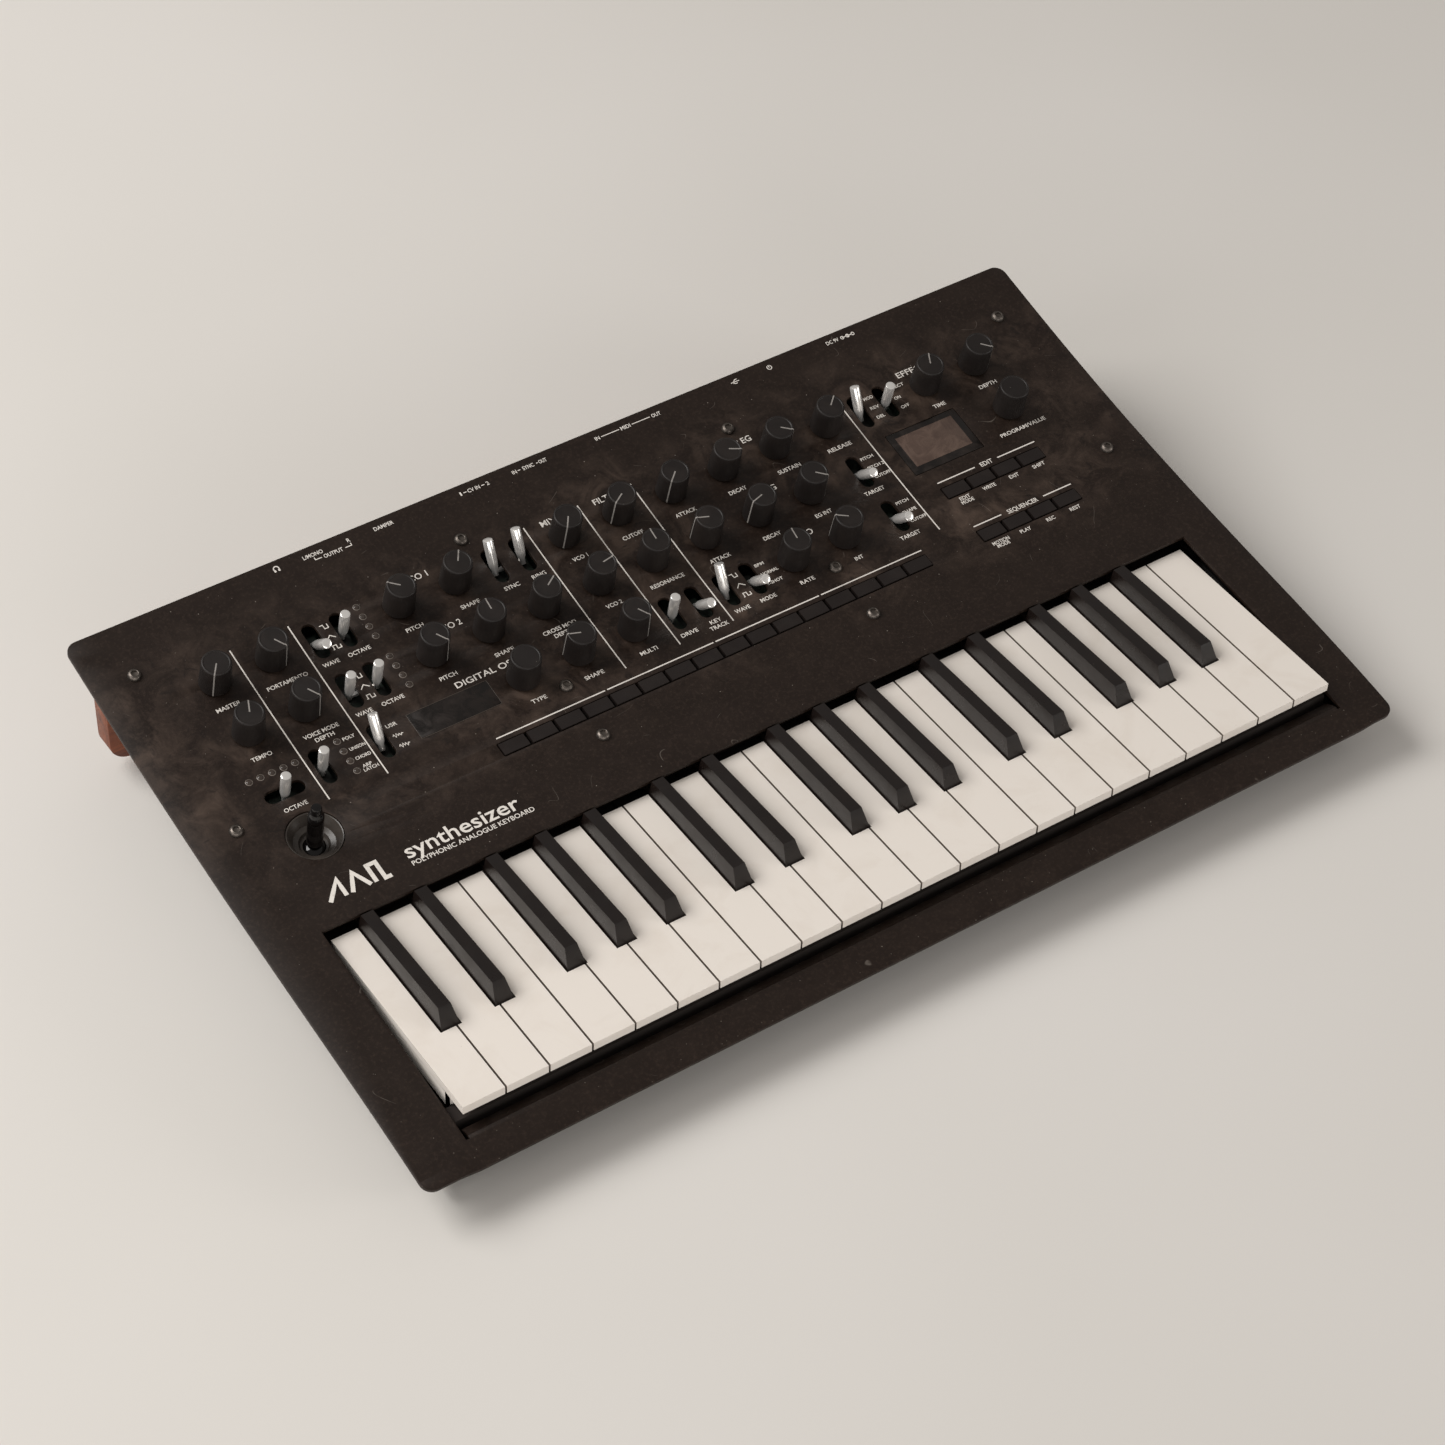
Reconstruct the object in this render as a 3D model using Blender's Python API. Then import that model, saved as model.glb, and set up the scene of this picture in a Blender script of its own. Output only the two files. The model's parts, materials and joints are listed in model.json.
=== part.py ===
"""A compact analogue synthesizer with slim keys, modelled as its separate pieces.

Frame: +Z up, +X to the treble end of the keyboard, +Y to the back, origin on the surface it
stands on, under the centre of the top panel. All sizes are in metres.
"""
import math

import bmesh
import bpy
import numpy as np
from mathutils import Matrix, Vector

# Top panel: a folded sheet whose height follows one smooth curve from front to back
WIDTH = 0.500
DEPTH = 0.300
SHEET = 0.0020
CORNER_RADIUS = 0.0055
CURVE_STATIONS = (-1 / 2, -1 / 3, -1 / 6, 1 / 6, 1 / 2)      # shares of DEPTH
CURVE_HEIGHTS = (0.0220, 0.0304, 0.0368, 0.0517, 0.0742)     # height of the top face there
CURVE_STEPS = 16

# Clearances
GAP = 0.0003             # between two pieces that touch
RUNNING_GAP = 0.0006     # round a piece that moves through a hole

# Case
CASE_INSET = 0.010       # how far the case stands back under the panel's edges
CASE_BOTTOM = 0.0060
FLOOR_THICK = 0.0030
WALL_THICK = 0.0025
CASE_EDGE_RADIUS = 0.006
FOOT_RADIUS = 0.0090
FOOT_INSET_X = 0.030
FOOT_INSET_Y = 0.028
POST_RADIUS = 0.0035
SCREW_OUTER_X = 0.2300
SCREW_INNER_X = (-0.0682, 0.0747)
SCREW_ROWS_Y = (0.1241, 0.0367)
SCREW_FRONT_Y = 0.0070

# Rear panel of wood
WOOD_THICK = 0.0120
WOOD_REAR_INSET = 0.0020
WOOD_BOTTOM = 0.0095
WOOD_CORNER_RADIUS = 0.010

# Keyboard
WHITE_KEYS = 22
KEY_PITCH = 0.02036
KEYS_LEFT = -0.2213
KEY_SEAM = 0.0009
KEY_SIDE_GAP = 0.0022    # from the outer keys to the panel
KEY_FRONT = -0.1291
KEY_REAR = -0.0224
KEY_PLATE = 0.0042
WHITE_TOP = 0.0346
OPENING_FRONT = -0.1350
OPENING_REAR = -0.0234
SLOT_WIDTH = 0.0100      # cut in the white keys for a black key
SLOT_FRONT = -0.0919
BLACK_BASE = 0.0088
BLACK_TOP_WIDTH = 0.0056
BLACK_FRONT = -0.0912
BLACK_TOP_FRONT = -0.0863
BLACK_REAR = -0.0246
BLACK_RISE_FRONT = 0.0085
BLACK_RISE_REAR = 0.0062
BLACK_SINK = 0.0030      # how far a black key's body reaches below the white tops
KEY_PIVOT_Y = -0.0040
WHITE_PIVOT_DROP = 0.0080    # below the white tops
BLACK_PIVOT_DROP = 0.0011
WHITE_BAR = (-0.0300, -0.0020, 0.0110, 0.0050)   # front, rear, depth of underside, of top face
BLACK_BAR = (-0.0190, -0.0020, 0.0028, -0.0006)
WEB_FRONT = -0.0420
WEB_WIDTH = 0.0070
STEM_WIDTH = 0.0060
OCTAVE_WHITES = 7
BLACK_OFFSETS = {0: -0.0025, 1: 0.0025, 3: -0.0038, 4: 0.0, 5: 0.0038}   # after white key number

# Front lip, which turns down between the corners
LIP_DROP = 0.0010
LIP_STEPS = 5
LIP_OVERLAP = 0.0060

# Keybed
KEYBED_PLATE = 0.0020
KEYBED_FRONT = -0.1275
KEYBED_REAR = 0.0035
KEYBED_WALL_FRONT = -0.0015
KEYBED_WALL_TOP = 0.0355
KEYBED_RAIL = (-0.1260, -0.1180, 0.0235)     # front, rear, top of the front key stop
KEYBED_SEAT = (-0.0065, -0.0010)             # front and rear of the hinge seat

# Controls: columns and rows at one pitch
PITCH = 0.02845
COLUMN_ZERO = -0.0257
ROW_STEPS_Y = 0.0208
ROWS_Y = (0.1058, 0.0773, 0.0489)
KNOB_BASE_RADIUS = 0.0072
KNOB_TOP_RADIUS = 0.0066
KNOB_HEIGHT = 0.0161
KNOB_LIFT = 0.0007
KNOB_EDGE = 0.0006
KNOB_SIDES = 12
ENCODER_GROWTH = 0.0003
SHAFT_RADIUS = 0.0030
SHAFT_DEPTH = 0.0050
POT_SIZE = 0.0095
TURN = 150.0

TOGGLE_PIVOT_DEPTH = 0.0030
TOGGLE_LENGTH = 0.0149
TOGGLE_TIP_RADIUS = 0.0023
TOGGLE_ROOT_RADIUS = 0.0015
TOGGLE_TAIL = 0.0026
TOGGLE_TILT = 35.0
TOGGLE_SIDES = 8
SLOT_LENGTH = 0.0186
SLOT_BREADTH = 0.0065
SWITCH_TOP_DEPTH = 0.0064
SWITCH_SIZE = (0.0064, 0.0130)

BUTTON_PITCH = 0.01424
BUTTON_LENGTH = 0.0124
BUTTON_BREADTH = 0.0060
BUTTON_SLOT_BREADTH = 0.0072
BUTTON_PROUD = 0.0002
BUTTON_DEPTH = 0.0046
BUTTON_CARRIER_TOP = 0.0031
BUTTON_CARRIER_BREADTH = 0.0050
BUTTON_TRAVEL = 0.0008
STEP_COUNT = 16
STEP_FIRST_X = -0.1045
FUNCTION_PITCH = 0.0144
FUNCTION_FIRST_X = 0.1512
FUNCTION_COUNT = 4
FUNCTION_TIE_BREADTH = 0.0040

STICK_X = -0.2022
STICK_Y = 0.0200
WELL_RADIUS = 0.0126
STICK_RADIUS = 0.0034
STICK_HEIGHT = 0.0200
STICK_PIVOT_DEPTH = 0.0140
STICK_TAIL = 0.0022
STICK_SHAFT_RADIUS = 0.0020
GIMBAL_INNER = 0.0050
GIMBAL_OUTER = 0.0085
GIMBAL_THICK = 0.0030
GIMBAL_STUB_RADIUS = 0.0010
GIMBAL_STUB_LENGTH = 0.0020
TOWER_WIDTH = 0.0022

DISPLAY_X = (0.1390, 0.1785)
DISPLAY_Y = (0.0637, 0.0890)

BOARD_THICK = 0.0020
BOARD_DEPTH = 0.0130
BOARD_CENTRE_Y = 0.0630
BOARD_REACH = (-0.0530, 0.0560)      # towards the front and the back of its centre
BOARD_MARGIN_X = 0.0260
MODULE_FOOT_DEPTH = 0.0146
TOWER_FOOT_DEPTH = 0.0152
TOWER_TOP_DEPTH = 0.0125

# Rear sockets: name, place along X
JACKS = (("phones", -0.1490), ("output", -0.1245), ("audio_in", -0.0953))
SYNC_JACKS = (("sync_in", -0.0486), ("sync_out", -0.0196))
MIDI_JACKS = (("midi_in", 0.0215), ("midi_out", 0.0455))
USB_X = 0.0934
INLET_X = 0.1127
POWER_X = 0.1528
SOCKET_Z = 0.0400
JACK_BARREL = 0.0062
JACK_BORE = 0.0032
SYNC_BARREL = 0.0042
SYNC_BORE = 0.0018
DIN_RADIUS = 0.0088
USB_SHELL = (0.0120, 0.0110)
USB_WALL = 0.0012
POWER_RADIUS = 0.0045
POWER_TRAVEL = 0.0020
BORE_LENGTH = 0.0130
SOCKET_RECESS = 0.0010
JACK_PLATE_Y = 0.1290
JACK_PLATE_THICK = 0.0016
JACK_PLATE_Z = (0.0260, 0.0560)
JACK_PLATE_MARGIN = 0.0160

ENCODERS = ("multi_type_encoder", "value_encoder")

# name, column, row, angle of the pointer clockwise from the back
KNOBS = (
    ("vco1_pitch_knob", -3, 0, -49), ("vco1_shape_knob", -2, 0, 33),
    ("mix_vco1_knob", 0, 0, -145), ("filter_cutoff_knob", 1, 0, -122),
    ("amp_attack_knob", 2, 0, -132), ("amp_decay_knob", 3, 0, 116),
    ("amp_sustain_knob", 4, 0, 128), ("amp_release_knob", 5, 0, 47),
    ("fx_time_knob", 7, 0, 26), ("fx_depth_knob", 8, 0, 133),
    ("vco2_pitch_knob", -3, 1, 148), ("vco2_shape_knob", -2, 1, 4),
    ("cross_mod_knob", -1, 1, 57), ("mix_vco2_knob", 0, 1, 81),
    ("filter_resonance_knob", 1, 1, 4), ("eg_attack_knob", 2, 1, -70),
    ("eg_decay_knob", 3, 1, -106), ("eg_intensity_knob", 4, 1, 132),
    ("value_encoder", 8, 1, 0), ("multi_type_encoder", -2, 2, 0),
    ("multi_shape_knob", -1, 2, -71), ("mix_multi_knob", 0, 2, 150),
    ("lfo_rate_knob", 3, 2, 7), ("lfo_intensity_knob", 4, 2, -57),
)
# name, X, row, angle: these stand left of the columns
SIDE_KNOBS = (
    ("master_knob", -0.2015, 0, -144), ("portamento_knob", -0.1742, 0, 148),
    ("tempo_knob", -0.2015, 1, 23), ("voice_depth_knob", -0.1742, 1, 149),
)
# name, places along X of its levers, row, position at rest: -1 front, 0 middle, 1 back
TOGGLES = (
    ("vco1_wave_toggle", (-0.1523,), 0, -1), ("vco1_octave_toggle", (-0.1387,), 0, 0),
    ("sync_ring_toggles", (-0.0617, -0.0474), 0, 1), ("fx_type_toggle", (0.1372,), 0, 1),
    ("fx_on_toggle", (0.1515,), 0, 0), ("vco2_toggles", (-0.1523, -0.1387), 1, 0),
    ("eg_target_toggle", (0.1167,), 1, -1), ("multi_engine_toggle", (-0.1534,), 2, 1),
    ("voice_mode_toggle", (-0.1818,), 2, 0), ("filter_drive_toggle", (-0.0050,), 2, 0),
    ("filter_keytrack_toggle", (0.0089,), 2, -1), ("lfo_wave_toggle", (0.0238,), 2, 1),
    ("lfo_mode_toggle", (0.0380,), 2, -1), ("lfo_target_toggle", (0.1167,), 2, -1),
)
OCTAVE_TOGGLE = (-0.2023, 0.0448)

CURVE = np.polyfit([s * DEPTH for s in CURVE_STATIONS], CURVE_HEIGHTS, len(CURVE_HEIGHTS) - 1)
CURVE_SLOPE = np.polyder(CURVE)
FRONT = -DEPTH / 2
REAR = DEPTH / 2
OPENING_LEFT = KEYS_LEFT - KEY_SIDE_GAP
OPENING_RIGHT = KEYS_LEFT + WHITE_KEYS * KEY_PITCH + KEY_SIDE_GAP
CASE_HALF = WIDTH / 2 - CASE_INSET
WOOD_REAR = REAR - WOOD_REAR_INSET
WOOD_FRONT = WOOD_REAR - WOOD_THICK


# ---------------------------------------------------------------- measures

def panel_height(y):
    """Height of the panel's top face at y."""
    return float(np.polyval(CURVE, y))


def lip_height(y):
    """Height of the top face of the lip in front of the keys, which curls down."""
    share = (OPENING_FRONT - y) / (OPENING_FRONT - FRONT)
    return panel_height(y) - LIP_DROP * share * share


def panel_frame(x, y):
    """A frame on the panel's top face: X along the panel, Y up its slope, Z out of it."""
    slope = math.atan(float(np.polyval(CURVE_SLOPE, y)))
    return Matrix.Translation((x, y, panel_height(y))) @ Matrix.Rotation(slope, 4, "X")


def column_x(column):
    return COLUMN_ZERO + column * PITCH


def display_frame():
    """Frame at the middle of the display, and its half sizes."""
    place = panel_frame(sum(DISPLAY_X) / 2, sum(DISPLAY_Y) / 2)
    return place, (DISPLAY_X[1] - DISPLAY_X[0]) / 2, (DISPLAY_Y[1] - DISPLAY_Y[0]) / 2


def screw_places():
    """Where the panel's screws stand."""
    outer = [(side * SCREW_OUTER_X, y) for y in SCREW_ROWS_Y for side in (-1, 1)]
    inner = [(x, y) for y in SCREW_ROWS_Y + (SCREW_FRONT_Y,) for x in SCREW_INNER_X]
    return outer + inner


def knob_places():
    """Name, x, y and pointer angle of every knob."""
    columns = [(name, column_x(column), ROWS_Y[row], angle) for name, column, row, angle in KNOBS]
    return columns + [(name, x, ROWS_Y[row], angle) for name, x, row, angle in SIDE_KNOBS]


# ---------------------------------------------------------------- shapes

def solid(bm, rings, place=Matrix.Identity(4)):
    """Closed solid through rings of points, all of one length, the first and last capped."""
    loops = [[bm.verts.new(place @ Vector(point)) for point in ring] for ring in rings]
    for low, high in zip(loops, loops[1:]):
        for i in range(len(low)):
            j = (i + 1) % len(low)
            bm.faces.new((low[i], low[j], high[j], high[i]))
    bm.faces.new(reversed(loops[0]))
    bm.faces.new(loops[-1])


def box(bm, x, y, z, place=Matrix.Identity(4)):
    """Block between the pairs x, y and z."""
    ring = [(x[0], y[0]), (x[1], y[0]), (x[1], y[1]), (x[0], y[1])]
    solid(bm, [[(u, v, w) for u, v in ring] for w in z], place)


def turned(bm, profile, sides, place=Matrix.Identity(4)):
    """Turned solid along Z from (radius, height) pairs, bottom to top."""
    turns = [2 * math.pi * (i + 0.5) / sides for i in range(sides)]
    solid(bm, [[(r * math.cos(a), r * math.sin(a), z) for a in turns] for r, z in profile], place)


def prism_x(bm, outline, x):
    """Solid with a (y, z) outline, anticlockwise seen from +X, between the pair x."""
    solid(bm, [[(u, y, z) for y, z in outline] for u in x])


def prism_y(bm, outline, y):
    """Solid with an (x, z) outline, clockwise seen from the front, between the pair y."""
    solid(bm, [[(x, v, z) for x, z in outline] for v in y])


def arc(centre, radius, start, end, steps):
    """Points round part of a circle, angles in degrees."""
    angles = [math.radians(start + (end - start) * i / steps) for i in range(steps + 1)]
    return [(centre[0] + radius * math.cos(a), centre[1] + radius * math.sin(a)) for a in angles]


def stadium(length, breadth, steps=4):
    """Outline of a slot with round ends, long way along Y."""
    radius = breadth / 2
    reach = length / 2 - radius
    return arc((0, reach), radius, 0, 180, steps) + arc((0, -reach), radius, 180, 360, steps)


# ---------------------------------------------------------------- objects

def clear_scene():
    for item in list(bpy.data.objects):
        bpy.data.objects.remove(item, do_unlink=True)


def finish_material(name, colour, roughness, metallic=0.0):
    material = bpy.data.materials.get(name) or bpy.data.materials.new(name)
    material.use_nodes = True
    shader = material.node_tree.nodes["Principled BSDF"]
    shader.inputs["Base Color"].default_value = (*colour, 1.0)
    shader.inputs["Roughness"].default_value = roughness
    shader.inputs["Metallic"].default_value = metallic
    return material


MATERIAL_VALUES = {
    "painted_sheet": ((0.024, 0.018, 0.015), 0.55, 0.2),
    "case_plastic": ((0.018, 0.016, 0.015), 0.5, 0.0),
    "wood": ((0.150, 0.045, 0.025), 0.5, 0.0),
    "white_key": ((0.82, 0.75, 0.68), 0.35, 0.0),
    "black_key": ((0.022, 0.019, 0.017), 0.4, 0.0),
    "knob_plastic": ((0.030, 0.028, 0.026), 0.55, 0.0),
    "chrome": ((0.80, 0.80, 0.80), 0.12, 1.0),
    "button_plastic": ((0.030, 0.025, 0.024), 0.4, 0.0),
    "board": ((0.020, 0.070, 0.035), 0.5, 0.0),
    "grey_plastic": ((0.10, 0.10, 0.10), 0.6, 0.0),
    "gloss_plastic": ((0.008, 0.007, 0.007), 0.15, 0.0),
}


def make_object(name, bm, material=None, origin=None, cutter=False):
    """Turn a bmesh into an object, with its origin moved to a joint's axis if one is given."""
    bmesh.ops.remove_doubles(bm, verts=bm.verts, dist=1e-6)
    bmesh.ops.recalc_face_normals(bm, faces=bm.faces)
    if origin is not None:
        bmesh.ops.transform(bm, matrix=origin.inverted(), verts=bm.verts)
    mesh = bpy.data.meshes.new(name)
    bm.to_mesh(mesh)
    bm.free()
    mesh.shade_smooth()
    mesh.set_sharp_from_angle(angle=math.radians(35))
    item = bpy.data.objects.new(name, mesh)
    bpy.context.scene.collection.objects.link(item)
    if origin is not None:
        item.matrix_world = origin
    if cutter:
        item.hide_render = True
        item.display_type = "WIRE"
    else:
        mesh.materials.append(finish_material(material, *MATERIAL_VALUES[material]))
    return item


def boolean(item, other, operation):
    """Leave an exact Boolean with another object on this one."""
    modifier = item.modifiers.new(other.name, "BOOLEAN")
    modifier.operation = operation
    modifier.object = other
    modifier.solver = "EXACT"


def cutter(name, bm):
    return make_object(name, bm, cutter=True)


# ---------------------------------------------------------------- top panel

def curve_outline(front, rear, top, bottom, steps):
    """Outline between two heights that follow y, from front to rear."""
    stations = [front + (rear - front) * i / steps for i in range(steps + 1)]
    return [(y, bottom(y)) for y in stations] + [(y, top(y)) for y in reversed(stations)]


def panel_openings(bm):
    """Holes for every shaft, lever, button row, the joystick and the display."""
    above, below = 0.004, 0.006
    for _, x, y, _ in knob_places():
        radius = SHAFT_RADIUS + RUNNING_GAP
        turned(bm, [(radius, -below), (radius, above)], 10, panel_frame(x, y))
    for _, xs, row, _ in TOGGLES:
        for x in xs:
            ring = stadium(SLOT_LENGTH, SLOT_BREADTH)
            solid(bm, [[(u, v, w) for u, v in ring] for w in (-below, above)],
                  panel_frame(x, ROWS_Y[row]))
    ring = [(v, -u) for u, v in stadium(SLOT_LENGTH, SLOT_BREADTH)]
    solid(bm, [[(u, v, w) for u, v in ring] for w in (-below, above)],
          panel_frame(*OCTAVE_TOGGLE))
    for first, pitch, count, y in button_rows():
        half = BUTTON_LENGTH / 2 + RUNNING_GAP
        breadth = BUTTON_SLOT_BREADTH / 2
        length = (count - 1) * pitch
        box(bm, (-half, length + half), (-breadth, breadth), (-below, above),
            panel_frame(first, y))
    turned(bm, [(WELL_RADIUS, -below), (WELL_RADIUS, above)], 20, panel_frame(STICK_X, STICK_Y))
    place, half_x, half_y = display_frame()
    box(bm, (-half_x, half_x), (-half_y, half_y), (-below, above), place)


def corner_cuts(bm):
    """What is cut away outside the four rounded corners."""
    reach = 0.002
    for sx, sy in ((1, 1), (-1, 1), (-1, -1), (1, -1)):
        centre = (WIDTH / 2 - CORNER_RADIUS, DEPTH / 2 - CORNER_RADIUS)
        ring = arc(centre, CORNER_RADIUS, 0, 90, 5)
        ring += [(centre[0], DEPTH / 2 + reach), (WIDTH / 2 + reach, DEPTH / 2 + reach),
                 (WIDTH / 2 + reach, centre[1])]
        ring = [(sx * x, sy * y) for x, y in ring]
        if sx * sy < 0:
            ring.reverse()
        solid(bm, [[(x, y, z) for x, y in ring] for z in (0.0, CURVE_HEIGHTS[-1] + reach)])


def make_top_panel():
    bm = bmesh.new()
    outline = curve_outline(FRONT, REAR, panel_height, lambda y: panel_height(y) - SHEET,
                            CURVE_STEPS)
    prism_x(bm, outline, (-WIDTH / 2, WIDTH / 2))
    panel = make_object("top_panel", bm, "painted_sheet")

    cut = bmesh.new()
    top = CURVE_HEIGHTS[-1]
    box(cut, (OPENING_LEFT, OPENING_RIGHT), (FRONT - 0.01, OPENING_REAR), (0, top))
    boolean(panel, cutter("cut_keys", cut), "DIFFERENCE")

    lip = bmesh.new()
    outline = curve_outline(FRONT + GAP, OPENING_FRONT, lip_height,
                            lambda y: lip_height(y) - SHEET, LIP_STEPS)
    prism_x(lip, outline, (OPENING_LEFT - LIP_OVERLAP, OPENING_RIGHT + LIP_OVERLAP))
    boolean(panel, cutter("add_lip", lip), "UNION")

    cut = bmesh.new()
    corner_cuts(cut)
    boolean(panel, cutter("cut_corners", cut), "DIFFERENCE")

    cut = bmesh.new()
    panel_openings(cut)
    boolean(panel, cutter("cut_controls", cut), "DIFFERENCE")


# ---------------------------------------------------------------- case

def rounded_bottom(half, low, high, radius):
    """Outline seen from the front: square at the top, round at the bottom corners."""
    left = arc((-half + radius, low + radius), radius, 180, 270, 4)
    right = arc((half - radius, low + radius), radius, 270, 360, 4)
    return left + right + [(half, high), (-half, high)]


def make_bottom_shell():
    front, rear = FRONT + CASE_INSET, WOOD_FRONT - GAP
    top = CURVE_HEIGHTS[-1]

    def rim(y):
        height = lip_height(y) if y < OPENING_FRONT else panel_height(y)
        return height - SHEET - GAP

    bm = bmesh.new()
    outline = curve_outline(front, rear, rim, lambda y: CASE_BOTTOM, CURVE_STEPS)
    prism_x(bm, outline, (-WIDTH / 2, WIDTH / 2))
    shell = make_object("bottom_shell", bm, "case_plastic")

    keep = bmesh.new()
    prism_y(keep, rounded_bottom(CASE_HALF, CASE_BOTTOM, top, CASE_EDGE_RADIUS), (FRONT, REAR))
    boolean(shell, cutter("keep_shell", keep), "INTERSECT")

    cut = bmesh.new()
    inner = CASE_HALF - WALL_THICK
    box(cut, (-inner, inner), (front + WALL_THICK, REAR), (CASE_BOTTOM + FLOOR_THICK, top))
    boolean(shell, cutter("cut_shell", cut), "DIFFERENCE")

    add = bmesh.new()
    for x, y in screw_places():
        height = panel_height(y - POST_RADIUS) - SHEET - GAP
        turned(add, [(POST_RADIUS, CASE_BOTTOM + GAP), (POST_RADIUS, height)], 8,
               Matrix.Translation((x, y, 0)))
    for sx in (-1, 1):
        for sy in (-1, 1):
            place = Matrix.Translation((sx * (CASE_HALF - FOOT_INSET_X),
                                        sy * (REAR - CASE_INSET - FOOT_INSET_Y), 0))
            turned(add, [(FOOT_RADIUS, 0), (FOOT_RADIUS, CASE_BOTTOM + GAP)], 12, place)
    boolean(shell, cutter("add_posts", add), "UNION")


def make_rear_panel():
    """Wood board that closes the back, with a hole for each socket."""
    bm = bmesh.new()
    outline = curve_outline(WOOD_FRONT, WOOD_REAR, lambda y: panel_height(y) - SHEET - GAP,
                            lambda y: WOOD_BOTTOM, 2)
    prism_x(bm, outline, (-WIDTH / 2, WIDTH / 2))
    board = make_object("rear_panel", bm, "wood")

    keep = bmesh.new()
    prism_y(keep, rounded_bottom(CASE_HALF, WOOD_BOTTOM, CURVE_HEIGHTS[-1], WOOD_CORNER_RADIUS),
            (WOOD_FRONT - GAP, REAR))
    boolean(board, cutter("keep_wood", keep), "INTERSECT")

    cut = bmesh.new()
    span = (WOOD_FRONT - WOOD_THICK / 2, REAR)
    for x, radius in round_sockets():
        tube_y(cut, x, radius + RUNNING_GAP, span, 12)
    tube_y(cut, POWER_X, POWER_RADIUS + RUNNING_GAP, span, 12)
    half_x, half_z = (size / 2 + RUNNING_GAP for size in USB_SHELL)
    box(cut, (USB_X - half_x, USB_X + half_x), span, (SOCKET_Z - half_z, SOCKET_Z + half_z))
    boolean(board, cutter("cut_wood", cut), "DIFFERENCE")


# ---------------------------------------------------------------- rear sockets

def tube_y(bm, x, radius, y, sides):
    """Round bar along Y at the sockets' height."""
    place = Matrix.Translation((x, 0, SOCKET_Z)) @ Matrix.Rotation(math.pi / 2, 4, "X")
    turned(bm, [(radius, -y[1]), (radius, -y[0])], sides, place)


def round_sockets():
    """Place and outer radius of every round socket."""
    places = [(x, JACK_BARREL) for _, x in JACKS] + [(x, SYNC_BARREL) for _, x in SYNC_JACKS]
    return places + [(x, DIN_RADIUS) for _, x in MIDI_JACKS] + [(INLET_X, JACK_BARREL)]


def make_jack_board():
    """Upright board that carries the sockets, which reach back through the wood."""
    ends = (JACKS[0][1] - JACK_PLATE_MARGIN, POWER_X + JACK_PLATE_MARGIN)
    face = WOOD_REAR - SOCKET_RECESS
    span = (JACK_PLATE_Y + JACK_PLATE_THICK / 2, face)
    bm = bmesh.new()
    box(bm, ends, (JACK_PLATE_Y, JACK_PLATE_Y + JACK_PLATE_THICK), JACK_PLATE_Z)
    board = make_object("jack_board", bm, "board")

    add = bmesh.new()
    for x, radius in round_sockets():
        tube_y(add, x, radius, span, 12)
    half_x, half_z = (size / 2 for size in USB_SHELL)
    box(add, (USB_X - half_x, USB_X + half_x), span, (SOCKET_Z - half_z, SOCKET_Z + half_z))
    boolean(board, cutter("add_sockets", add), "UNION")

    cut = bmesh.new()
    bores = [(x, JACK_BORE) for _, x in JACKS] + [(INLET_X, JACK_BORE)]
    bores += [(x, SYNC_BORE) for _, x in SYNC_JACKS]
    for x, radius in bores:
        tube_y(cut, x, radius, (face - BORE_LENGTH, REAR), 10)
    half_x, half_z = (size / 2 - USB_WALL for size in USB_SHELL)
    box(cut, (USB_X - half_x, USB_X + half_x), (face - BORE_LENGTH, REAR),
        (SOCKET_Z - half_z, SOCKET_Z + half_z))
    boolean(board, cutter("cut_sockets", cut), "DIFFERENCE")


def make_power_button():
    """Push button at the back, pressed forwards."""
    origin = Matrix.Translation((POWER_X, WOOD_REAR, SOCKET_Z))
    inner = JACK_PLATE_Y + JACK_PLATE_THICK + POWER_TRAVEL + GAP
    bm = bmesh.new()
    tube_y(bm, POWER_X, POWER_RADIUS, (inner, REAR - GAP), 12)
    make_object("power_button", bm, "gloss_plastic", origin)


# ---------------------------------------------------------------- keyboard

def white_edges(number):
    """Left and right of a white key, and the black key slots at its left and right."""
    left = KEYS_LEFT + number * KEY_PITCH + KEY_SEAM / 2
    right = left + KEY_PITCH - KEY_SEAM
    note = number % OCTAVE_WHITES
    last = number == WHITE_KEYS - 1
    slot_left = BLACK_OFFSETS.get(note - 1)
    slot_right = None if last else BLACK_OFFSETS.get(note)
    seam_left = KEYS_LEFT + number * KEY_PITCH
    rear_left = left if slot_left is None else seam_left + slot_left + SLOT_WIDTH / 2
    seam_right = seam_left + KEY_PITCH
    rear_right = right if slot_right is None else seam_right + slot_right - SLOT_WIDTH / 2
    return left, right, rear_left, rear_right


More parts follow.
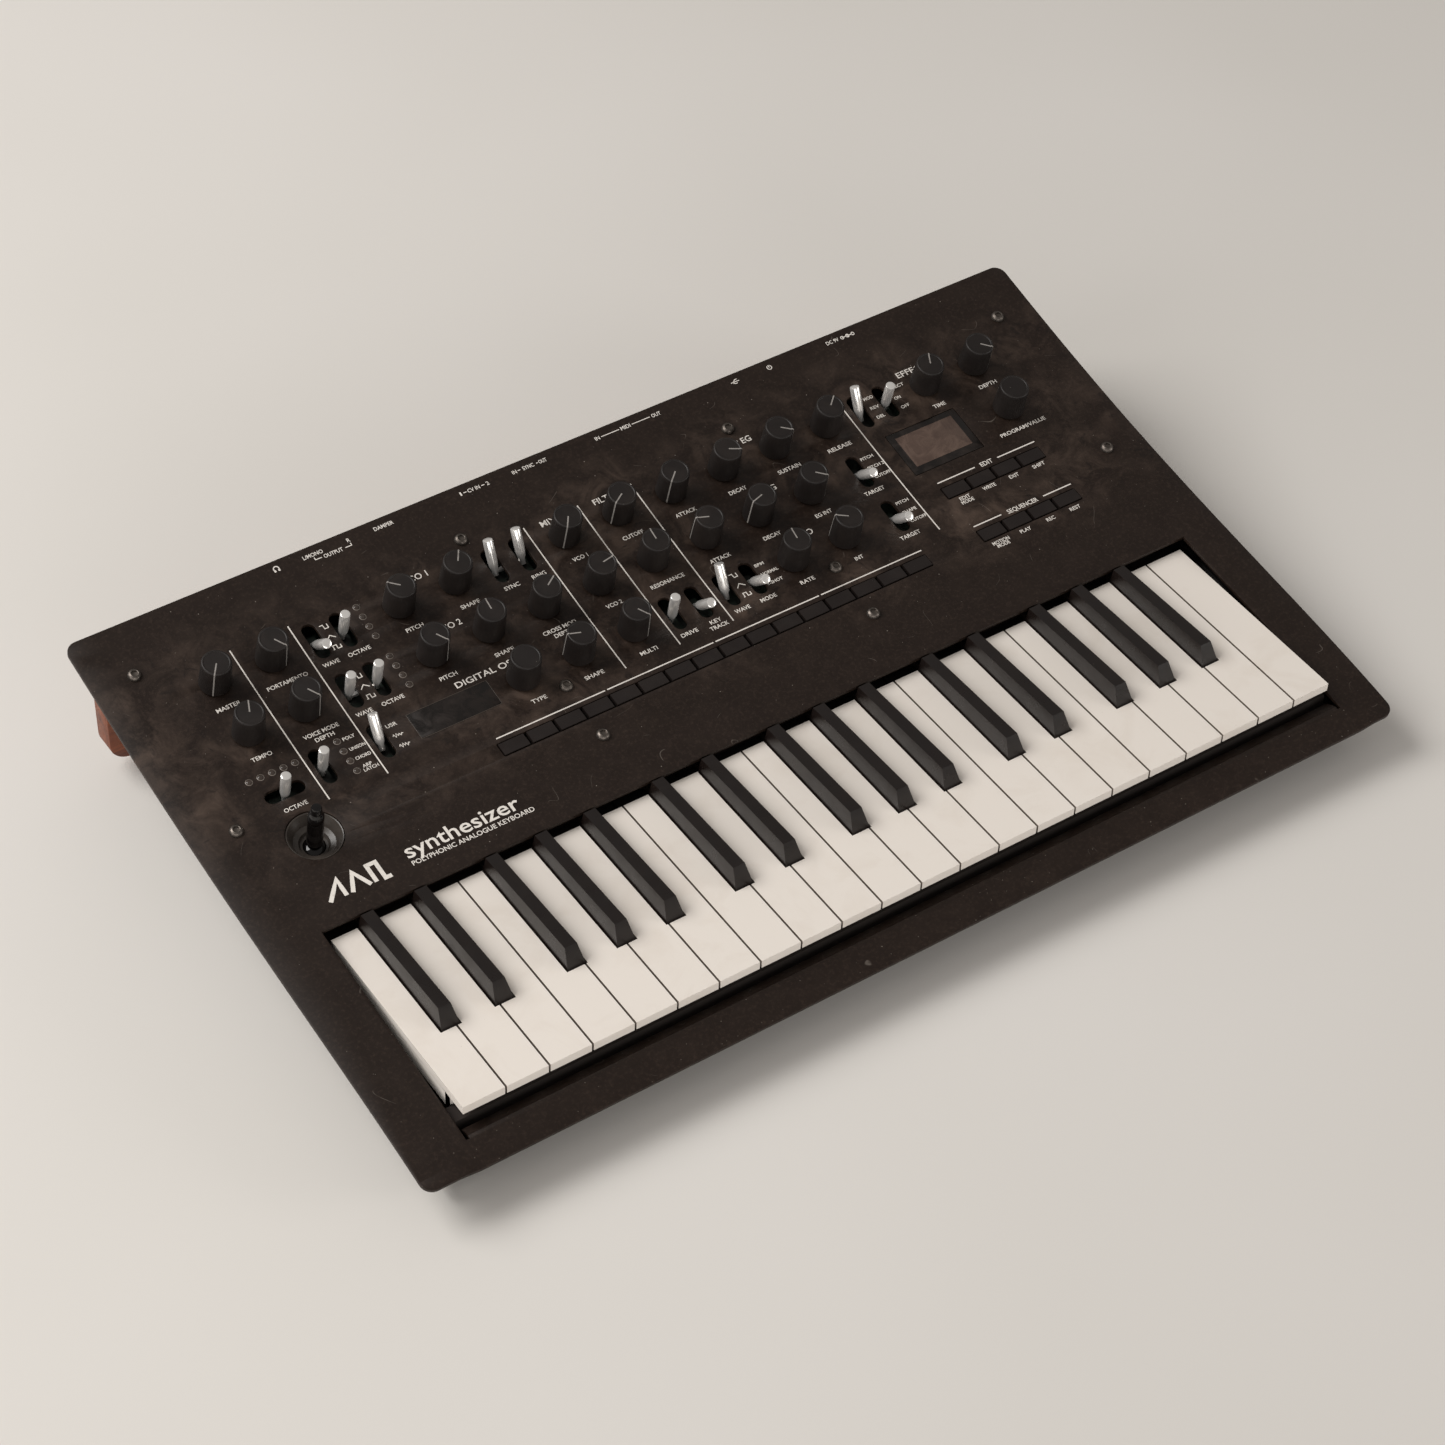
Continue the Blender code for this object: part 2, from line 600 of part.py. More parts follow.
def make_white_keys(name, numbers):
    """White keys of one octave, moulded in one comb with a hinge bar behind them."""
    origin = Matrix.Translation((0, KEY_PIVOT_Y, WHITE_TOP - WHITE_PIVOT_DROP))
    bm = bmesh.new()
    for number in numbers:
        left, right, rear_left, rear_right = white_edges(number)
        ring = [(left, KEY_FRONT), (right, KEY_FRONT)]
        if rear_right < right:
            ring += [(right, SLOT_FRONT), (rear_right, SLOT_FRONT)]
        ring += [(rear_right, KEY_REAR), (rear_left, KEY_REAR)]
        if rear_left > left:
            ring += [(rear_left, SLOT_FRONT), (left, SLOT_FRONT)]
        solid(bm, [[(x, y, z) for x, y in ring] for z in (WHITE_TOP - KEY_PLATE, WHITE_TOP)])
    keys = make_object(name, bm, "white_key", origin)

    front, rear, under, over = WHITE_BAR
    add = bmesh.new()
    first = white_edges(numbers[0])[0]
    last = white_edges(numbers[-1])[1]
    box(add, (first, last), (front, rear), (WHITE_TOP - under, WHITE_TOP - over))
    boolean(keys, cutter(f"bar_{name}", add), "UNION")
    webs = bmesh.new()
    for number in numbers:
        _, _, rear_left, rear_right = white_edges(number)
        middle = (rear_left + rear_right) / 2
        box(webs, (middle - WEB_WIDTH / 2, middle + WEB_WIDTH / 2), (WEB_FRONT, KEY_REAR - GAP),
            (WHITE_TOP - under + GAP, WHITE_TOP - KEY_PLATE + GAP))
    boolean(keys, cutter(f"webs_{name}", webs), "UNION")


def black_numbers(numbers):
    """White keys of the octave that have a black key after them."""
    return [n for n in numbers if n % OCTAVE_WHITES in BLACK_OFFSETS and n < WHITE_KEYS - 1]


def black_x(number):
    seam = KEYS_LEFT + (number + 1) * KEY_PITCH
    return seam + BLACK_OFFSETS[number % OCTAVE_WHITES]


def make_black_keys(name, numbers):
    """Black keys of one octave, in one comb with a hinge bar behind them."""
    origin = Matrix.Translation((0, KEY_PIVOT_Y, WHITE_TOP - BLACK_PIVOT_DROP))
    base, crown = BLACK_BASE / 2, BLACK_TOP_WIDTH / 2
    low, mid = WHITE_TOP - BLACK_SINK, WHITE_TOP
    bm = bmesh.new()
    for number in numbers:
        x = black_x(number)
        rings = [[(x - base, BLACK_FRONT, z), (x + base, BLACK_FRONT, z),
                  (x + base, BLACK_REAR, z), (x - base, BLACK_REAR, z)] for z in (low, mid)]
        high_front, high_rear = mid + BLACK_RISE_FRONT, mid + BLACK_RISE_REAR
        rings.append([(x - crown, BLACK_TOP_FRONT, high_front),
                      (x + crown, BLACK_TOP_FRONT, high_front),
                      (x + crown, BLACK_REAR, high_rear), (x - crown, BLACK_REAR, high_rear)])
        solid(bm, rings)
    keys = make_object(name, bm, "black_key", origin)

    front, rear, under, over = BLACK_BAR
    add = bmesh.new()
    first = black_x(numbers[0]) - base
    last = black_x(numbers[-1]) + base
    box(add, (first, last), (front, rear), (WHITE_TOP - under, WHITE_TOP - over))
    boolean(keys, cutter(f"bar_{name}", add), "UNION")
    stems = bmesh.new()
    for number in numbers:
        x = black_x(number)
        box(stems, (x - STEM_WIDTH / 2, x + STEM_WIDTH / 2), (BLACK_REAR - base, rear - GAP),
            (WHITE_TOP - under + GAP, WHITE_TOP - over - GAP))
    boolean(keys, cutter(f"stems_{name}", stems), "UNION")


def make_keyboard():
    octaves = (("low", range(0, 7)), ("mid", range(7, 14)), ("high", range(14, WHITE_KEYS)))
    for name, numbers in octaves:
        make_white_keys(f"white_keys_{name}", list(numbers))
        make_black_keys(f"black_keys_{name}", black_numbers(numbers))


def make_keybed():
    """Frame under the keys: base plate, front key stop, hinge seat and rear wall."""
    bottom = CASE_BOTTOM + FLOOR_THICK + GAP
    ends = (OPENING_LEFT, OPENING_RIGHT)
    bar_bottom = WHITE_TOP - WHITE_BAR[2]
    bm = bmesh.new()
    outline = [
        (KEYBED_FRONT, bottom), (KEYBED_REAR, bottom), (KEYBED_REAR, KEYBED_WALL_TOP),
        (KEYBED_WALL_FRONT, KEYBED_WALL_TOP), (KEYBED_WALL_FRONT, bar_bottom - GAP),
        (KEYBED_SEAT[0], bar_bottom - GAP), (KEYBED_SEAT[0], bottom + KEYBED_PLATE),
        (KEYBED_RAIL[1], bottom + KEYBED_PLATE), (KEYBED_RAIL[1], KEYBED_RAIL[2]),
        (KEYBED_RAIL[0], KEYBED_RAIL[2]), (KEYBED_RAIL[0], bottom + KEYBED_PLATE),
        (KEYBED_FRONT, bottom + KEYBED_PLATE),
    ]
    prism_x(bm, outline, ends)
    make_object("keybed_frame", bm, "grey_plastic")


# ---------------------------------------------------------------- controls

def make_knobs():
    """Knob caps, each with the shaft that turns in its potentiometer."""
    for name, x, y, angle in knob_places():
        grow = ENCODER_GROWTH if name in ENCODERS else 0.0
        base, top = KNOB_BASE_RADIUS + grow, KNOB_TOP_RADIUS + grow
        origin = panel_frame(x, y) @ Matrix.Rotation(-math.radians(angle), 4, "Z")
        profile = [(SHAFT_RADIUS, -SHAFT_DEPTH), (SHAFT_RADIUS, KNOB_LIFT), (base, KNOB_LIFT),
                   (top, KNOB_HEIGHT - KNOB_EDGE), (top - KNOB_EDGE, KNOB_HEIGHT)]
        bm = bmesh.new()
        turned(bm, profile, KNOB_SIDES, origin)
        make_object(name, bm, "knob_plastic", origin)


def lever(bm, x, place):
    """Toggle lever standing on its pivot, with the tail that works the switch."""
    root, tip = TOGGLE_ROOT_RADIUS, TOGGLE_TIP_RADIUS
    profile = [(root, -TOGGLE_TAIL), (root, 0.0), (tip, TOGGLE_LENGTH * 0.7),
               (tip, TOGGLE_LENGTH - GAP), (tip - GAP, TOGGLE_LENGTH)]
    turned(bm, profile, TOGGLE_SIDES, place @ Matrix.Translation((x, 0, 0)))


def make_toggles():
    """Toggle levers; neighbours in one row that stand alike share one rocking piece."""
    for name, xs, row, state in TOGGLES:
        pivot = panel_frame(xs[0], ROWS_Y[row]) @ Matrix.Translation((0, 0, -TOGGLE_PIVOT_DEPTH))
        origin = pivot @ Matrix.Rotation(-math.radians(state * TOGGLE_TILT), 4, "X")
        bm = bmesh.new()
        lever(bm, 0.0, origin)
        item = make_object(name, bm, "chrome", origin)
        for x in xs[1:]:
            shift = x - xs[0]
            second = bmesh.new()
            lever(second, shift, origin)
            boolean(item, cutter(f"second_{name}", second), "UNION")
            tie = bmesh.new()
            half = TOGGLE_ROOT_RADIUS * 0.6
            box(tie, (0, shift), (-half, half), (-TOGGLE_TAIL + GAP, -TOGGLE_TAIL + 2 * half),
                origin)
            boolean(item, cutter(f"tie_{name}", tie), "UNION")
    origin = octave_pivot()
    bm = bmesh.new()
    lever(bm, 0.0, origin)
    make_object("octave_toggle", bm, "chrome", origin)


def octave_pivot():
    return panel_frame(*OCTAVE_TOGGLE) @ Matrix.Translation((0, 0, -TOGGLE_PIVOT_DEPTH))


def button_rows():
    """First place, pitch, count and y of each row of buttons."""
    return ((STEP_FIRST_X, BUTTON_PITCH, STEP_COUNT, ROW_STEPS_Y),
            (FUNCTION_FIRST_X, FUNCTION_PITCH, FUNCTION_COUNT, ROWS_Y[2]),
            (FUNCTION_FIRST_X, FUNCTION_PITCH, FUNCTION_COUNT, ROW_STEPS_Y))


def button_row(name, row):
    """Buttons of one row on the carrier that ties them under the panel."""
    first, pitch, count, y = row
    place = panel_frame(first, y)
    half_x, half_y = BUTTON_LENGTH / 2, BUTTON_BREADTH / 2
    bm = bmesh.new()
    for i in range(count):
        box(bm, (i * pitch - half_x, i * pitch + half_x), (-half_y, half_y),
            (-BUTTON_DEPTH, BUTTON_PROUD), place)
    item = make_object(name, bm, "button_plastic", place)
    tie = bmesh.new()
    half = BUTTON_CARRIER_BREADTH / 2
    box(tie, (0, (count - 1) * pitch), (-half, half), (-BUTTON_DEPTH + GAP, -BUTTON_CARRIER_TOP),
        place)
    boolean(item, cutter(f"carrier_{name}", tie), "UNION")
    return item, place


def make_buttons():
    steps, edit, sequencer = button_rows()
    button_row("step_buttons", steps)
    item, place = button_row("function_buttons", edit)
    second = bmesh.new()
    lower = panel_frame(sequencer[0], sequencer[3])
    half_x, half_y = BUTTON_LENGTH / 2, BUTTON_BREADTH / 2
    for i in range(FUNCTION_COUNT):
        middle = i * FUNCTION_PITCH
        box(second, (middle - half_x, middle + half_x), (-half_y, half_y),
            (-BUTTON_DEPTH, BUTTON_PROUD), lower)
    boolean(item, cutter("second_function_row", second), "UNION")
    ties = bmesh.new()
    half = FUNCTION_TIE_BREADTH / 2
    reach = ROWS_Y[2] - ROW_STEPS_Y
    for i in range(FUNCTION_COUNT):
        middle = i * FUNCTION_PITCH
        box(ties, (middle - half, middle + half), (-reach, 0),
            (-BUTTON_DEPTH + 2 * GAP, -BUTTON_CARRIER_TOP - GAP), place)
    boolean(item, cutter("ties_function_rows", ties), "UNION")


def stick_pivot():
    return panel_frame(STICK_X, STICK_Y) @ Matrix.Translation((0, 0, -STICK_PIVOT_DEPTH))


def make_joystick():
    """Gimbal ring rocking about X, and the stick rocking in it about its own Y."""
    pivot = stick_pivot()
    half = GIMBAL_THICK / 2
    bm = bmesh.new()
    turned(bm, [(GIMBAL_OUTER, -half), (GIMBAL_OUTER, half)], 16, pivot)
    ring = make_object("joystick_gimbal", bm, "grey_plastic", pivot)
    cut = bmesh.new()
    turned(cut, [(GIMBAL_INNER, -2 * half), (GIMBAL_INNER, 2 * half)], 16, pivot)
    boolean(ring, cutter("cut_gimbal", cut), "DIFFERENCE")
    stubs = bmesh.new()
    across = Matrix.Rotation(math.pi / 2, 4, "Y")
    for side in (-1, 1):
        ends = sorted((side * (GIMBAL_OUTER - GAP * 2), side * (GIMBAL_OUTER + GIMBAL_STUB_LENGTH)))
        turned(stubs, [(GIMBAL_STUB_RADIUS, ends[0]), (GIMBAL_STUB_RADIUS, ends[1])], 8,
               pivot @ across)
    boolean(ring, cutter("stubs_gimbal", stubs), "UNION")

    bm = bmesh.new()
    cap = STICK_PIVOT_DEPTH
    profile = [(STICK_SHAFT_RADIUS, -STICK_TAIL), (STICK_SHAFT_RADIUS, cap * 0.3),
               (STICK_RADIUS, cap * 0.7), (STICK_RADIUS, cap + STICK_HEIGHT * 0.7),
               (STICK_RADIUS * 0.75, cap + STICK_HEIGHT)]
    turned(bm, profile, 12, pivot)
    stick = make_object("joystick_stick", bm, "gloss_plastic", pivot)
    pin = bmesh.new()
    along = Matrix.Rotation(math.pi / 2, 4, "X")
    reach = GIMBAL_INNER - GAP * 2
    turned(pin, [(GIMBAL_STUB_RADIUS, -reach), (GIMBAL_STUB_RADIUS, reach)], 8, pivot @ along)
    boolean(stick, cutter("pin_stick", pin), "UNION")


def make_control_board():
    """Board under the panel with its potentiometers, switches, display and stick towers."""
    place = panel_frame(0, BOARD_CENTRE_Y)
    half = CASE_HALF - BOARD_MARGIN_X + POT_SIZE
    bm = bmesh.new()
    box(bm, (-half, half), BOARD_REACH, (-BOARD_DEPTH - BOARD_THICK, -BOARD_DEPTH), place)
    board = make_object("control_board", bm, "board")

    add = bmesh.new()
    foot = -MODULE_FOOT_DEPTH
    pot = POT_SIZE / 2
    for _, x, y, _ in knob_places():
        box(add, (-pot, pot), (-pot, pot), (foot, -SHAFT_DEPTH - GAP), panel_frame(x, y))
    wide, long = (size / 2 for size in SWITCH_SIZE)
    for _, xs, row, _ in TOGGLES:
        for x in xs:
            box(add, (-wide, wide), (-long, long), (foot, -SWITCH_TOP_DEPTH),
                panel_frame(x, ROWS_Y[row]))
    box(add, (-long, long), (-wide, wide), (foot, -SWITCH_TOP_DEPTH), panel_frame(*OCTAVE_TOGGLE))
    tact = BUTTON_CARRIER_BREADTH / 2
    top = -BUTTON_DEPTH - BUTTON_TRAVEL - GAP
    for first, pitch, count, y in button_rows():
        for i in range(count):
            box(add, (-tact, tact), (-tact, tact), (foot, top), panel_frame(first + i * pitch, y))
    near = GIMBAL_OUTER + GIMBAL_STUB_LENGTH + GAP
    for side in (-1, 1):
        xs = sorted((side * near, side * (near + TOWER_WIDTH)))
        box(add, xs, (-tact, tact), (-TOWER_FOOT_DEPTH, -TOWER_TOP_DEPTH),
            panel_frame(STICK_X, STICK_Y))
    display_place, half_x, half_y = display_frame()
    box(add, (-half_x + GAP, half_x - GAP), (-half_y + GAP, half_y - GAP), (foot, -GAP),
        display_place)
    boolean(board, cutter("add_modules", add), "UNION")

    cut = bmesh.new()
    radius = POST_RADIUS + RUNNING_GAP
    for x, y in screw_places():
        turned(cut, [(radius, CASE_BOTTOM), (radius, CURVE_HEIGHTS[-1])], 8,
               Matrix.Translation((x, y, 0)))
    radius = GIMBAL_OUTER + GIMBAL_STUB_LENGTH + RUNNING_GAP
    turned(cut, [(radius, -2 * BOARD_DEPTH), (radius, -BOARD_DEPTH / 2)], 12,
           panel_frame(STICK_X, STICK_Y))
    boolean(board, cutter("cut_board", cut), "DIFFERENCE")


def build():
    clear_scene()
    make_top_panel()
    make_bottom_shell()
    make_rear_panel()
    make_keybed()
    make_jack_board()
    make_power_button()
    make_keyboard()
    make_knobs()
    make_toggles()
    make_buttons()
    make_joystick()
    make_control_board()
    bpy.context.view_layer.update()


build()
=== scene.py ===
"""Looks of a compact analogue synthesizer with slim keys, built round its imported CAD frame.

The file is laid out as a Blender add-on and run as a script. Every size is in metres, in the
frame of the CAD model: +Z up, +X to the treble end, +Y to the back.
"""
import json
import math

import bmesh
import bpy
import numpy as np
from bpy.props import FloatProperty, IntProperty, PointerProperty, StringProperty
from mathutils import Matrix, Vector


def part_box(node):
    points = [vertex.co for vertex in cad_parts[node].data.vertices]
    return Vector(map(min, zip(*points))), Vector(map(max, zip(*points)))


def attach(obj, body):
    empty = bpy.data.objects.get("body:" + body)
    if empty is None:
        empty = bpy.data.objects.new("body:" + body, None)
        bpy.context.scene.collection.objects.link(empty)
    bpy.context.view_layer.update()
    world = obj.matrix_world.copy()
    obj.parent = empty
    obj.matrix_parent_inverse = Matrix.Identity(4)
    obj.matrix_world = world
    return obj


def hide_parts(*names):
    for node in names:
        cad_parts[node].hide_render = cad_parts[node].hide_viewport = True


bl_info = {
    "name": "Slim-key synthesizer",
    "version": (1, 0, 0),
    "blender": (4, 5, 0),
    "location": "3D View > Sidebar > Synthesizer",
    "description": "Builds the visible pieces of a compact analogue synthesizer",
    "category": "Object",
}

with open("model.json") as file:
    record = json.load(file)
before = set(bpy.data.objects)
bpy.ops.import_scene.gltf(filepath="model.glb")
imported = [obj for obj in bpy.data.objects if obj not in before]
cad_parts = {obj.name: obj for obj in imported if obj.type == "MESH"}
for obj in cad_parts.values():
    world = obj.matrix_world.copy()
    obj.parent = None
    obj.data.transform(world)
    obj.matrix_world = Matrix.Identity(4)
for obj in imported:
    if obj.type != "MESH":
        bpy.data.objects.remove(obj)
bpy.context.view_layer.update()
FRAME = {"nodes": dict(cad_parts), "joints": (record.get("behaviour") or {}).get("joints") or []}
JOINTS = {joint["child"]: joint for joint in FRAME["joints"]}

# ---------------------------------------------------------------- the panel's own shape

WIDTH, DEPTH, SHEET = 0.500, 0.300, 0.0020
CORNER_RADIUS = 0.0055
EDGE = 0.00025                     # softened edge of the sheet
CURVE_STATIONS = (-0.150, -0.100, -0.050, 0.050, 0.150)
CURVE_HEIGHTS = (0.0220, 0.0304, 0.0368, 0.0517, 0.0742)
CURVE = np.polyfit(CURVE_STATIONS, CURVE_HEIGHTS, 4)
SLOPE = np.polyder(CURVE)
OPENING_X = (-0.2240, 0.2288)      # round the keyboard
OPENING_Y = (-0.1352, -0.0234)
RELIEF = 0.0016                    # notches that let the front lip bend
LIP_DROP, LIP_POWER = 0.0010, 2.0  # how far the lip curls down, and how late
LIP_FADE = 0.0110                  # length over which it rises to the flat wings
SLOT = (0.0187, 0.0065)            # toggle slot
ROWS_Y = (0.1058, 0.0773, 0.0489)
STEP_Y = 0.0208
WELL_RADIUS = 0.0125
STICK_X, STICK_Y = -0.2022, 0.0200
INNER_SCREWS = (-0.0682, 0.0747)
SCREWS = [(x, y) for y in (0.1241, 0.0367) for x in (-0.2300, 0.2300, *INNER_SCREWS)]
SCREWS += [(x, 0.0070) for x in INNER_SCREWS]
SHAFT_HOLE = 0.0036                # radius of the hole under each knob
OCTAVE_SLOT_Y = 0.0448             # the one slot that lies across
# Low and high corners of the windows
DISPLAY_OPENING = ((0.1390, 0.0637), (0.1785, 0.0890))
DISPLAY_LIT = ((0.1427, 0.0679), (0.1746, 0.0858))
LABEL_WINDOW = ((-0.1374, 0.0418), (-0.0976, 0.0552))
# Body, X of the first button, pitch, count and Y of every row of buttons
BUTTON_ROWS = (("step_buttons", -0.1045, 0.01424, 16, STEP_Y),
               ("function_buttons", 0.1512, 0.0144, 4, ROWS_Y[2]),
               ("function_buttons", 0.1512, 0.0144, 4, STEP_Y))
BUTTON_WINDOW = (0.0068, 0.0036)   # from a button's middle to its opening's edge

# Keyboard
WHITE_KEYS, PITCH, KEYS_LEFT, SEAM = 22, 0.02036, -0.2213, 0.0009
WHITE_TOP, PLATE = 0.0346, 0.0042
KEY_FRONT, KEY_REAR = -0.1293, -0.0250
NOTCH_WIDTH, NOTCH_FRONT = 0.0100, -0.0917
BLACK_OFFSETS = {0: -0.0025, 1: 0.0025, 3: -0.0038, 4: 0.0, 5: 0.0038}
OCTAVES = {"low": range(0, 7), "mid": range(7, 14), "high": range(14, WHITE_KEYS)}

# Rear sockets
WOOD_FRONT, WOOD_REAR, WOOD_BOTTOM, CASE_HALF = 0.1360, 0.1480, 0.0095, 0.2400
SOCKET_Z = 0.0400
JACKS = (-0.1490, -0.1245, -0.0953)
SYNCS = (-0.0486, -0.0196)
DINS = (0.0215, 0.0455)
USB_X, INLET_X, POWER_X = 0.0934, 0.1127, 0.1528
# Holes in the wood: positions, radius, last angle of the ring in degrees, steps
HOLES = (((*JACKS, INLET_X), 0.0068, 350, 35), (SYNCS, 0.0048, 350, 35),
         (DINS, 0.0094, 352.5, 47), ((POWER_X,), 0.0051, 350, 35))
SLEEVE_START = 0.1300              # where the socket bodies begin, behind the wood

FEET = [(sx * 0.210, sy * 0.112) for sx in (-1, 1) for sy in (-1, 1)]


def height(y):
    """Height of the panel's top face at y."""
    return float(np.polyval(CURVE, y))


def on_panel(x, y, lift=0.0):
    """Point over the panel's top face, raised along its normal."""
    slope = math.atan(float(np.polyval(SLOPE, y)))
    drop = 0.0
    if y < OPENING_Y[0]:
        left, right = OPENING_X[0] - x, x - OPENING_X[1]
        share = min(max(1.0 - max(left, right) / LIP_FADE, 0.0), 1.0)
        ease = share * share * (3 - 2 * share)
        bend = (OPENING_Y[0] - y) / (OPENING_Y[0] + DEPTH / 2)
        drop = LIP_DROP * bend ** LIP_POWER * ease
    return Vector((x, y - lift * math.sin(slope), height(y) - drop + lift * math.cos(slope)))


def panel_place(x, y, lift=0.0):
    """Frame on the panel: X along it, Y up its slope, Z out of it."""
    slope = math.atan(float(np.polyval(SLOPE, y)))
    return Matrix.Translation(on_panel(x, y, lift)) @ Matrix.Rotation(slope, 4, "X")


def joint_place(body):
    """Frame at a body's joint, with Z square to the panel."""
    point = Vector(JOINTS[body]["pos_m"])
    slope = math.atan(float(np.polyval(SLOPE, point.y)))
    return Matrix.Translation(point) @ Matrix.Rotation(slope, 4, "X")


def joint_middle(body):
    """Middle of a hinge's range, in radians from rest."""
    return math.radians(sum(JOINTS[body].get("range_deg", (0, 0))) / 2)


# ---------------------------------------------------------------- meshes

def solid(bm, rings, place=Matrix.Identity(4), material=0):
    """Closed solid through rings of points of one length, capped at both ends."""
    loops = [[bm.verts.new(place @ Vector(point)) for point in ring] for ring in rings]
    faces = [bm.faces.new(reversed(loops[0])), bm.faces.new(loops[-1])]
    for low, high in zip(loops, loops[1:]):
        for i in range(len(low)):
            j = (i + 1) % len(low)
            faces.append(bm.faces.new((low[i], low[j], high[j], high[i])))
    for face in faces:
        face.material_index = material


def box(bm, x, y, z, place=Matrix.Identity(4), material=0):
    """Block between the pairs x, y and z."""
    ring = [(x[0], y[0]), (x[1], y[0]), (x[1], y[1]), (x[0], y[1])]
    solid(bm, [[(u, v, w) for u, v in ring] for w in z], place, material)


def turned(bm, profile, sides, place=Matrix.Identity(4), material=0):
    """Turned solid along Z from (radius, height) pairs, bottom to top."""
    turns = [2 * math.pi * i / sides for i in range(sides)]
    rings = [[(r * math.cos(a), r * math.sin(a), z) for a in turns] for r, z in profile]
    solid(bm, rings, place, material)


def turned_ring(bm, profile, sides, place=Matrix.Identity(4), material=0):
    """Ring turned from a closed (radius, height) outline."""
    loops = []
    for i in range(sides):
        a = 2 * math.pi * i / sides
        loops.append([bm.verts.new(place @ Vector((r * math.cos(a), r * math.sin(a), z)))
                      for r, z in profile])
    for i in range(sides):
        near, far = loops[i], loops[(i + 1) % sides]
        for j in range(len(profile)):
            k = (j + 1) % len(profile)
            bm.faces.new((near[j], far[j], far[k], near[k])).material_index = material


def arc(centre, radius, start, end, steps):
    """Points round part of a circle, angles in degrees."""
    angles = [math.radians(start + (end - start) * i / steps) for i in range(steps + 1)]
    return [(centre[0] + radius * math.cos(a), centre[1] + radius * math.sin(a)) for a in angles]


def slot_outline(x, y, length, breadth, along_y=True):
    """Slot with round ends round a middle."""
    radius, reach = breadth / 2, (length - breadth) / 2
    ring = arc((0, reach), radius, 0, 180, 12) + arc((0, -reach), radius, 180, 360, 12)
    return [(x + u, y + v) if along_y else (x + v, y - u) for u, v in ring]


def rectangle(x, y, radius=0.0005):
    """Rectangle between the pairs x and y with small round corners."""
    ring = []
    for cx, cy, start in ((x[1], y[1], 0), (x[0], y[1], 90), (x[0], y[0], 180), (x[1], y[0], 270)):
        sx, sy = (1 if cx == x[1] else -1), (1 if cy == y[1] else -1)
        ring += arc((cx - sx * radius, cy - sy * radius), radius, start, start + 90, 4)
    return ring


def plate(outlines, thickness, edge):
    """Flat plate with holes and softened edges, top at zero; its first outline is its rim."""
    curve = bpy.data.curves.new("plate", "CURVE")
    curve.dimensions = "2D"
    curve.fill_mode = "BOTH"
    curve.extrude = thickness / 2 - edge
    curve.bevel_depth = edge
    curve.bevel_resolution = 1
    curve.offset = -edge
    for outline in outlines:
        spline = curve.splines.new("POLY")
        spline.points.add(len(outline) - 1)
        for point, (u, v) in zip(spline.points, outline):
            point.co = (u, v, 0, 1)
        spline.use_cyclic_u = True
    holder = bpy.data.objects.new("plate", curve)
    mesh = bpy.data.meshes.new_from_object(holder)
    bpy.data.objects.remove(holder)
    bm = bmesh.new()
    bm.from_mesh(mesh)
    bmesh.ops.remove_doubles(bm, verts=bm.verts, dist=1e-6)
    bmesh.ops.translate(bm, verts=bm.verts, vec=(0, 0, -thickness / 2))
    return bm


def slice_at(bm, axis, stations):
    """Cut every face along planes square to one axis."""
    normal = [1.0 if i == axis else 0.0 for i in range(3)]
    for station in stations:
        point = [station if i == axis else 0.0 for i in range(3)]
        geometry = bm.verts[:] + bm.edges[:] + bm.faces[:]
        bmesh.ops.bisect_plane(bm, geom=geometry, plane_co=point, plane_no=normal, dist=1e-7)


def soften(bm, width, segments, angle=30):
    """Round the edges that turn more than an angle."""
    edges = [e for e in bm.edges if e.is_manifold and e.calc_face_angle() > math.radians(angle)]
    bmesh.ops.bevel(bm, geom=edges, offset=width, segments=segments, profile=0.5,
                    affect="EDGES", clamp_overlap=True)


def bend_to_panel(bm, lift=0.0):
    """Lay a mesh made flat at zero on the panel, raised by lift."""
    for vert in bm.verts:
        vert.co = on_panel(vert.co.x, vert.co.y, vert.co.z + lift)


def as_mesh(bm, name):
    """A mesh datablock from a bmesh, which is freed."""
    mesh = bpy.data.meshes.new(name)
    bm.to_mesh(mesh)
    bm.free()
    return mesh


def add_piece(name, bm, materials, body, replaces=(), sharp=35):
    """Make a finished piece of a mesh, at the origin, riding on its body."""
    bmesh.ops.recalc_face_normals(bm, faces=bm.faces)
    mesh = as_mesh(bm, name)
    for material in materials:
        mesh.materials.append(finish(material))
    mesh.shade_smooth()
    mesh.set_sharp_from_angle(angle=math.radians(sharp))
    piece = bpy.data.objects.new(name, mesh)
    bpy.context.scene.collection.objects.link(piece)
    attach(piece, body)
    if replaces:
        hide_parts(*replaces)


# ---------------------------------------------------------------- geometry nodes

def add_node(tree, kind, settings, inputs):
    """Add a node, set its properties, and set or link its inputs."""
    node = tree.nodes.new(kind)
    for name, value in settings.items():
        setattr(node, name, value)
    for name, value in inputs.items():
        if isinstance(value, bpy.types.NodeSocket):
            tree.links.new(value, node.inputs[name])
        else:
            node.inputs[name].default_value = value
    return node


def start_tree(name, sockets):
    """A geometry node tree with its inputs and output, and its entry's sockets."""
    tree = bpy.data.node_groups.new(name, "GeometryNodeTree")
    for socket, kind in sockets:
        tree.interface.new_socket(socket, in_out="INPUT", socket_type=f"NodeSocket{kind}")
    tree.interface.new_socket("Pieces", in_out="OUTPUT", socket_type="NodeSocketGeometry")
    return tree, tree.nodes.new("NodeGroupInput").outputs


